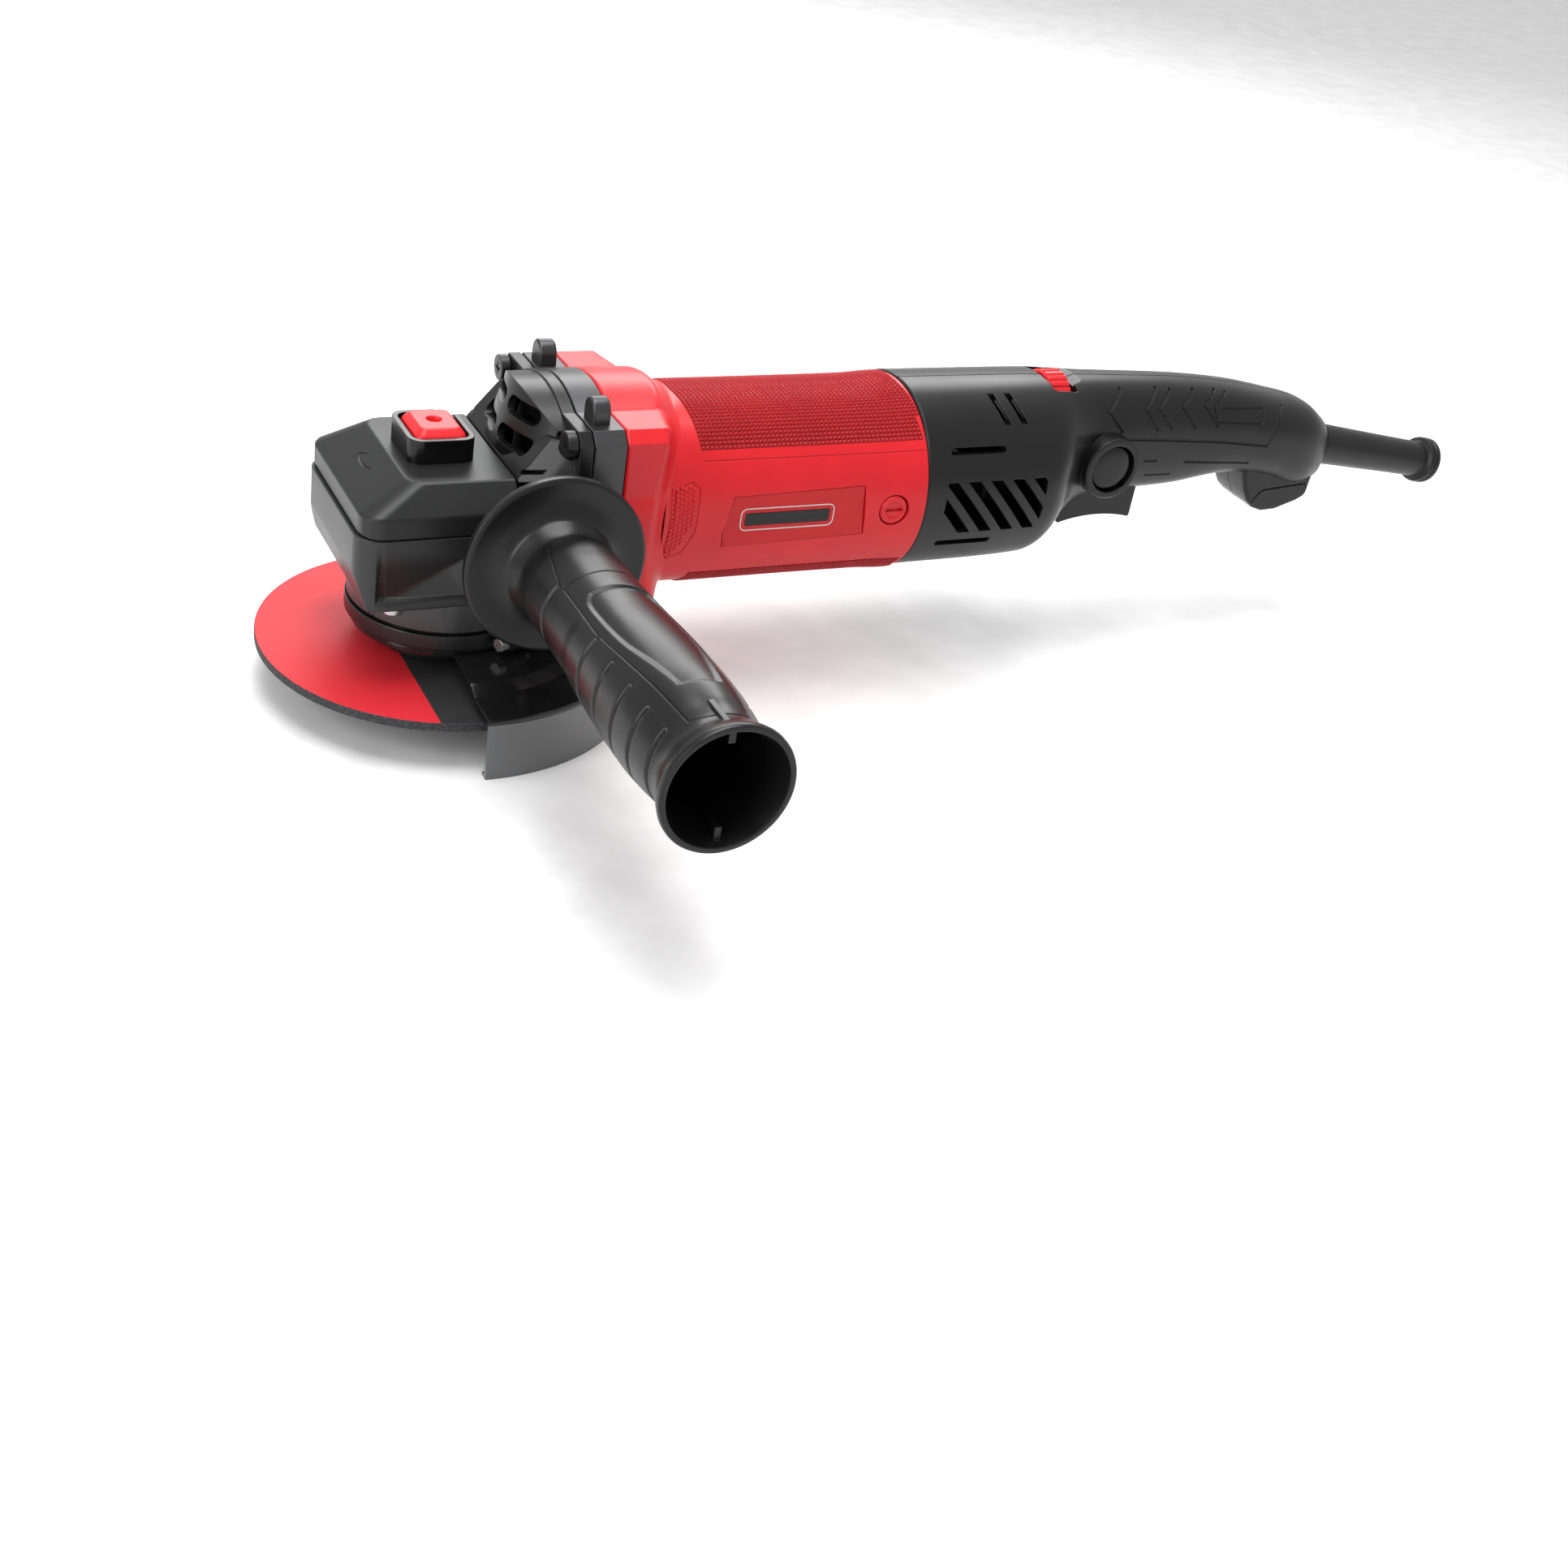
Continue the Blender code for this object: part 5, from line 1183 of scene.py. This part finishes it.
def speed_dial():
    centre = (218 * MM, 0, 84.8 * MM)
    wheel = turned("dial_wheel",
                   [(2.0 * MM, 4.3 * MM), (2.0 * MM, -4.3 * MM), (10.0 * MM, -4.3 * MM), (10.8 * MM, -3.6 * MM),
                    (10.8 * MM, 3.6 * MM), (10.0 * MM, 4.3 * MM)], centre, "X", 96)
    notches = []
    for k in range(24):
        a = math.radians(15 * k)
        y, z = 11.1 * MM * math.sin(a), centre[2] + 11.1 * MM * math.cos(a)
        notches.append(rod("notch", 0.75 * MM, (centre[0] - 6 * MM, y, z), (centre[0] + 6 * MM, y, z), 12))
    shaped(wheel, cut=notches)
    place(wheel, RED, "dial", "speed_dial", slot="red_plastic")


def cable_boot():
    drop = math.radians(9.6)
    start = Vector((348.4 * MM, 0, 62.8 * MM))
    tilt = Matrix.Translation(start) @ Matrix.Rotation(math.pi / 2 + drop, 4, "Y")
    shape = [(3.6, 64), (8.2, 64), (8.9, 63.5), (9.0, 62.2), (8.5, 61.5), (8.5, 60.9), (9.0, 60.2), (8.7, 58.9),
             (7.2, 58.2), (6.9, 56.5), (7.1, 40), (7.6, 10), (7.8, 2.0), (7.8, 0.8), (7.4, 0.0), (6.6, 0.0),
             (6.6, -13), (3.6, -13)]
    sleeve = turned("boot_sleeve", [(r * MM, z * MM) for r, z in shape], steps=72)
    sleeve.data.transform(tilt)
    place(sleeve, RUBBER, "machine", "cable_boot", slot="rubber")


# Side handle
HANDLE_LINE = [(53, 17.0), (58, 14.6), (61, 14.5), (64, 15.6), (72, 15.8), (80, 15.9), (91, 16.2), (102, 16.6),
               (113, 17.3), (124, 17.8), (134, 18.0), (143, 18.0), (150, 17.6), (156, 17.0), (160.5, 16.4),
               (164.7, 16.3), (167.5, 16.8), (170.7, 18.2)]


LEAF_TOP, LEAF_END, PANEL_MIDDLE = 93, 149.5, -4
RINGS = (79.5, 112.5, 126, 138.5, 149.5, 159.5)


def leaf(y):
    """Half the angle of the sunk panel on top of the handle at -y, in degrees."""
    return through([(93, 33), (97, 41), (106, 42), (123, 38), (138, 28), (150, 21)], y)


def grip_detail(y, turn):
    """What the panel and the ring grooves take off the handle's radius, in millimetres."""
    off = abs((turn - PANEL_MIDDLE + 180) % 360 - 180)
    inside = min(y - LEAF_TOP, LEAF_END - y, 0.3 * (leaf(y) - off))
    sunk = 0.75 * smoothstep(0.0, 1.3, inside)
    shoulder = smoothstep(50, 54, off) if turn < 300 else 0.0
    ring = max(math.exp(-(((y - level - 1.2 * math.sin(math.radians(off))) / 0.55) ** 2)) for level in RINGS)
    swell = 0.35 * shoulder * smoothstep(98, 104, y) * (1 - smoothstep(160, 164, y))
    return sunk + 0.9 * ring * shoulder - swell


def grip_point(y, turn, lift=0.0):
    a = math.radians(turn)
    out = Vector((-math.sin(a), 0, math.cos(a)))
    radius = through(HANDLE_LINE, y) - grip_detail(y, turn) + lift
    return Vector((HANDLE_X, -y * MM, HANDLE_Z)) + out * radius * MM, out


def handle_groove(name, route, radius=0.35 * MM):
    """A groove through (-y, turn) corners in millimetres and degrees; turn 0 is up, 90 is towards -X."""
    spots = [grip_point(y, turn) for y, turn in resampled(route, 2.1)]
    return swept(name, [p for p, _ in spots], [n for _, n in spots], radius, 6)


def side_handle():
    bore = [(5.5, 40.3), (5.5, 90.0), (14.0, 106.0), (14.8, 166.7), (17.3, 174.9), (17.8, 175.15), (18.9, 174.9),
            (19.2, 174.3), (19.2, 173.2), (18.4, 170.7)]
    flange_face = [(17.0, 53.0), (18.6, 51.9), (22.5, 50.3), (27.0, 50.7), (27.9, 50.5), (28.5, 49.8), (28.5, 47.9),
                   (28.0, 47.1), (27.0, 46.7), (15.0, 46.5), (13.4, 41.0), (12.8, 40.3)]
    turns = [2.0 * k for k in range(180)]

    def plain(r, y):
        return [Vector((HANDLE_X - r * MM * math.sin(math.radians(t)), -y * MM,
                        HANDLE_Z + r * MM * math.cos(math.radians(t))))
                for t in turns]

    body = [[grip_point(y, t)[0] for t in turns] for y in steps(54, 170, 0.35)][::-1]
    rows = [plain(r, y) for r, y in bore] + body + [plain(r, y) for r, y in flange_face]
    grip = skin("handle_grip", rows, loop=True)
    tools = [
        handle_groove("panel_line_left", [(84, 46), (112, 46), (145, 34), (163, 29)]),
        handle_groove("panel_line_right", [(84, -46), (112, -54), (145, -42), (163, -37)]),
        handle_groove("panel_top", [(84, 44.5), (84.3, 20), (84.3, -20), (84, -44.5)]),
        handle_groove("panel_end", [(163, 27.5), (164.3, 10), (164.3, -16), (163, -35.5)]),
        handle_groove("neck_line", [(64, 34), (83, 49)]),
    ]
    shaped(grip, cut=tools)
    ribs = [block("mouth_rib", (HANDLE_X - 1 * MM, -172.5 * MM, HANDLE_Z + z * MM),
                  (HANDLE_X + 1 * MM, -158 * MM, HANDLE_Z + (z + 4.5) * MM), 0.3 * MM, 1, 2) for z in (12.6, -17.1)]
    shaped(grip, add=ribs)
    place(grip, BLACK, "machine", "side_handle_grip", slot="black_plastic", sharp=40)


# The inner pieces that stay as the frame has them get their own finishes
KEPT = (
    (STEEL, "armature_shaft", "armature_core", "pinion", "crown_gear", "front_bearing", "rear_bearing", "stator_core",
     "spindle_bearing", "needle_bearing", "spindle_lock_pin", "side_handle_stud", "trigger_pin"),
    (COPPER, "front_winding", "rear_winding", "commutator", "brush_holder_left", "brush_holder_right",
     "upper_field_coil", "lower_field_coil"),
    (CARBON, "carbon_brush_left", "carbon_brush_right"),
    (BLACK, "cooling_fan", "speed_controller", "switch_body"),
)


def kept_pieces():
    for finish, *names in KEPT:
        for name in names:
            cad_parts[name].material_slots[0].material = finish.material


# Studio
def studio_floor():
    paper = moulded("studio_paper", (0.80, 0.80, 0.80), 0.6, 0.0)
    wide, level = 6.0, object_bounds()[0][2]
    floor = prism("studio_floor", [(-wide, -wide), (wide, -wide), (wide, wide), (-wide, wide)], 2, level - 0.01, level)
    floor.data.materials.append(paper.material)
    floor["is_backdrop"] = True


def area_light(name, place_at, aim, size, power):
    light = bpy.data.lights.new(name, "AREA")
    light.shape = "RECTANGLE"
    light.size, light.size_y = size
    light.energy = power
    lamp = bpy.data.objects.new(name, light)
    bpy.context.scene.collection.objects.link(lamp)
    turn = (Vector(aim) - Vector(place_at)).to_track_quat("-Z", "Y")
    lamp.matrix_world = Matrix.Translation(place_at) @ turn.to_matrix().to_4x4()


def studio_light():
    world = bpy.data.worlds.new("studio")
    bpy.context.scene.world = world
    world.use_nodes = True
    world.node_tree.nodes["Background"].inputs["Color"].default_value = (1, 1, 1, 1)
    world.node_tree.nodes["Background"].inputs["Strength"].default_value = 0.72
    bpy.context.scene.view_settings.view_transform = "Standard"
    area_light("overhead", (0.05, 0.05, 1.1), (0.1, 0, 0.05), (0.9, 0.6), 13)
    area_light("left_side", (-0.9, -0.35, 0.5), (0.05, 0, 0.05), (0.35, 0.8), 6)
    area_light("behind", (0.5, 0.9, 0.7), (0.1, 0, 0.05), (0.9, 0.4), 7)


def camera():
    """A standing three-quarter view from the side handle's corner, tipped a little."""
    yaw, pitch, roll = math.radians(-31.14), math.radians(31.62), math.radians(10.06)
    lens = bpy.data.cameras.new("view")
    lens.lens = 45.16
    lens.sensor_width = 36
    lens.clip_start = 0.01
    eye = bpy.data.objects.new("view", lens)
    bpy.context.scene.collection.objects.link(eye)
    right = Vector((math.cos(yaw), math.sin(yaw), 0))
    back = Vector((math.sin(yaw) * math.cos(pitch), -math.cos(yaw) * math.cos(pitch), math.sin(pitch)))
    up = back.cross(right)
    turned_right = math.cos(roll) * right + math.sin(roll) * up
    turned_up = math.cos(roll) * up - math.sin(roll) * right
    eye.matrix_world = Matrix.Translation((-0.18677, -0.53999, 0.32188)) @ Matrix(
        (turned_right, turned_up, back)).transposed().to_4x4()
    bpy.context.scene.camera = eye


motor_housing()
head_cover()
lock_button()
gear_case()
vent_cover()
bearing_plate()
screws()
bearing_cap()
disc_group()
guard()
rear_housing()
trigger()
lock_on()
speed_dial()
cable_boot()
side_handle()
kept_pieces()
studio_floor()
studio_light()
camera()
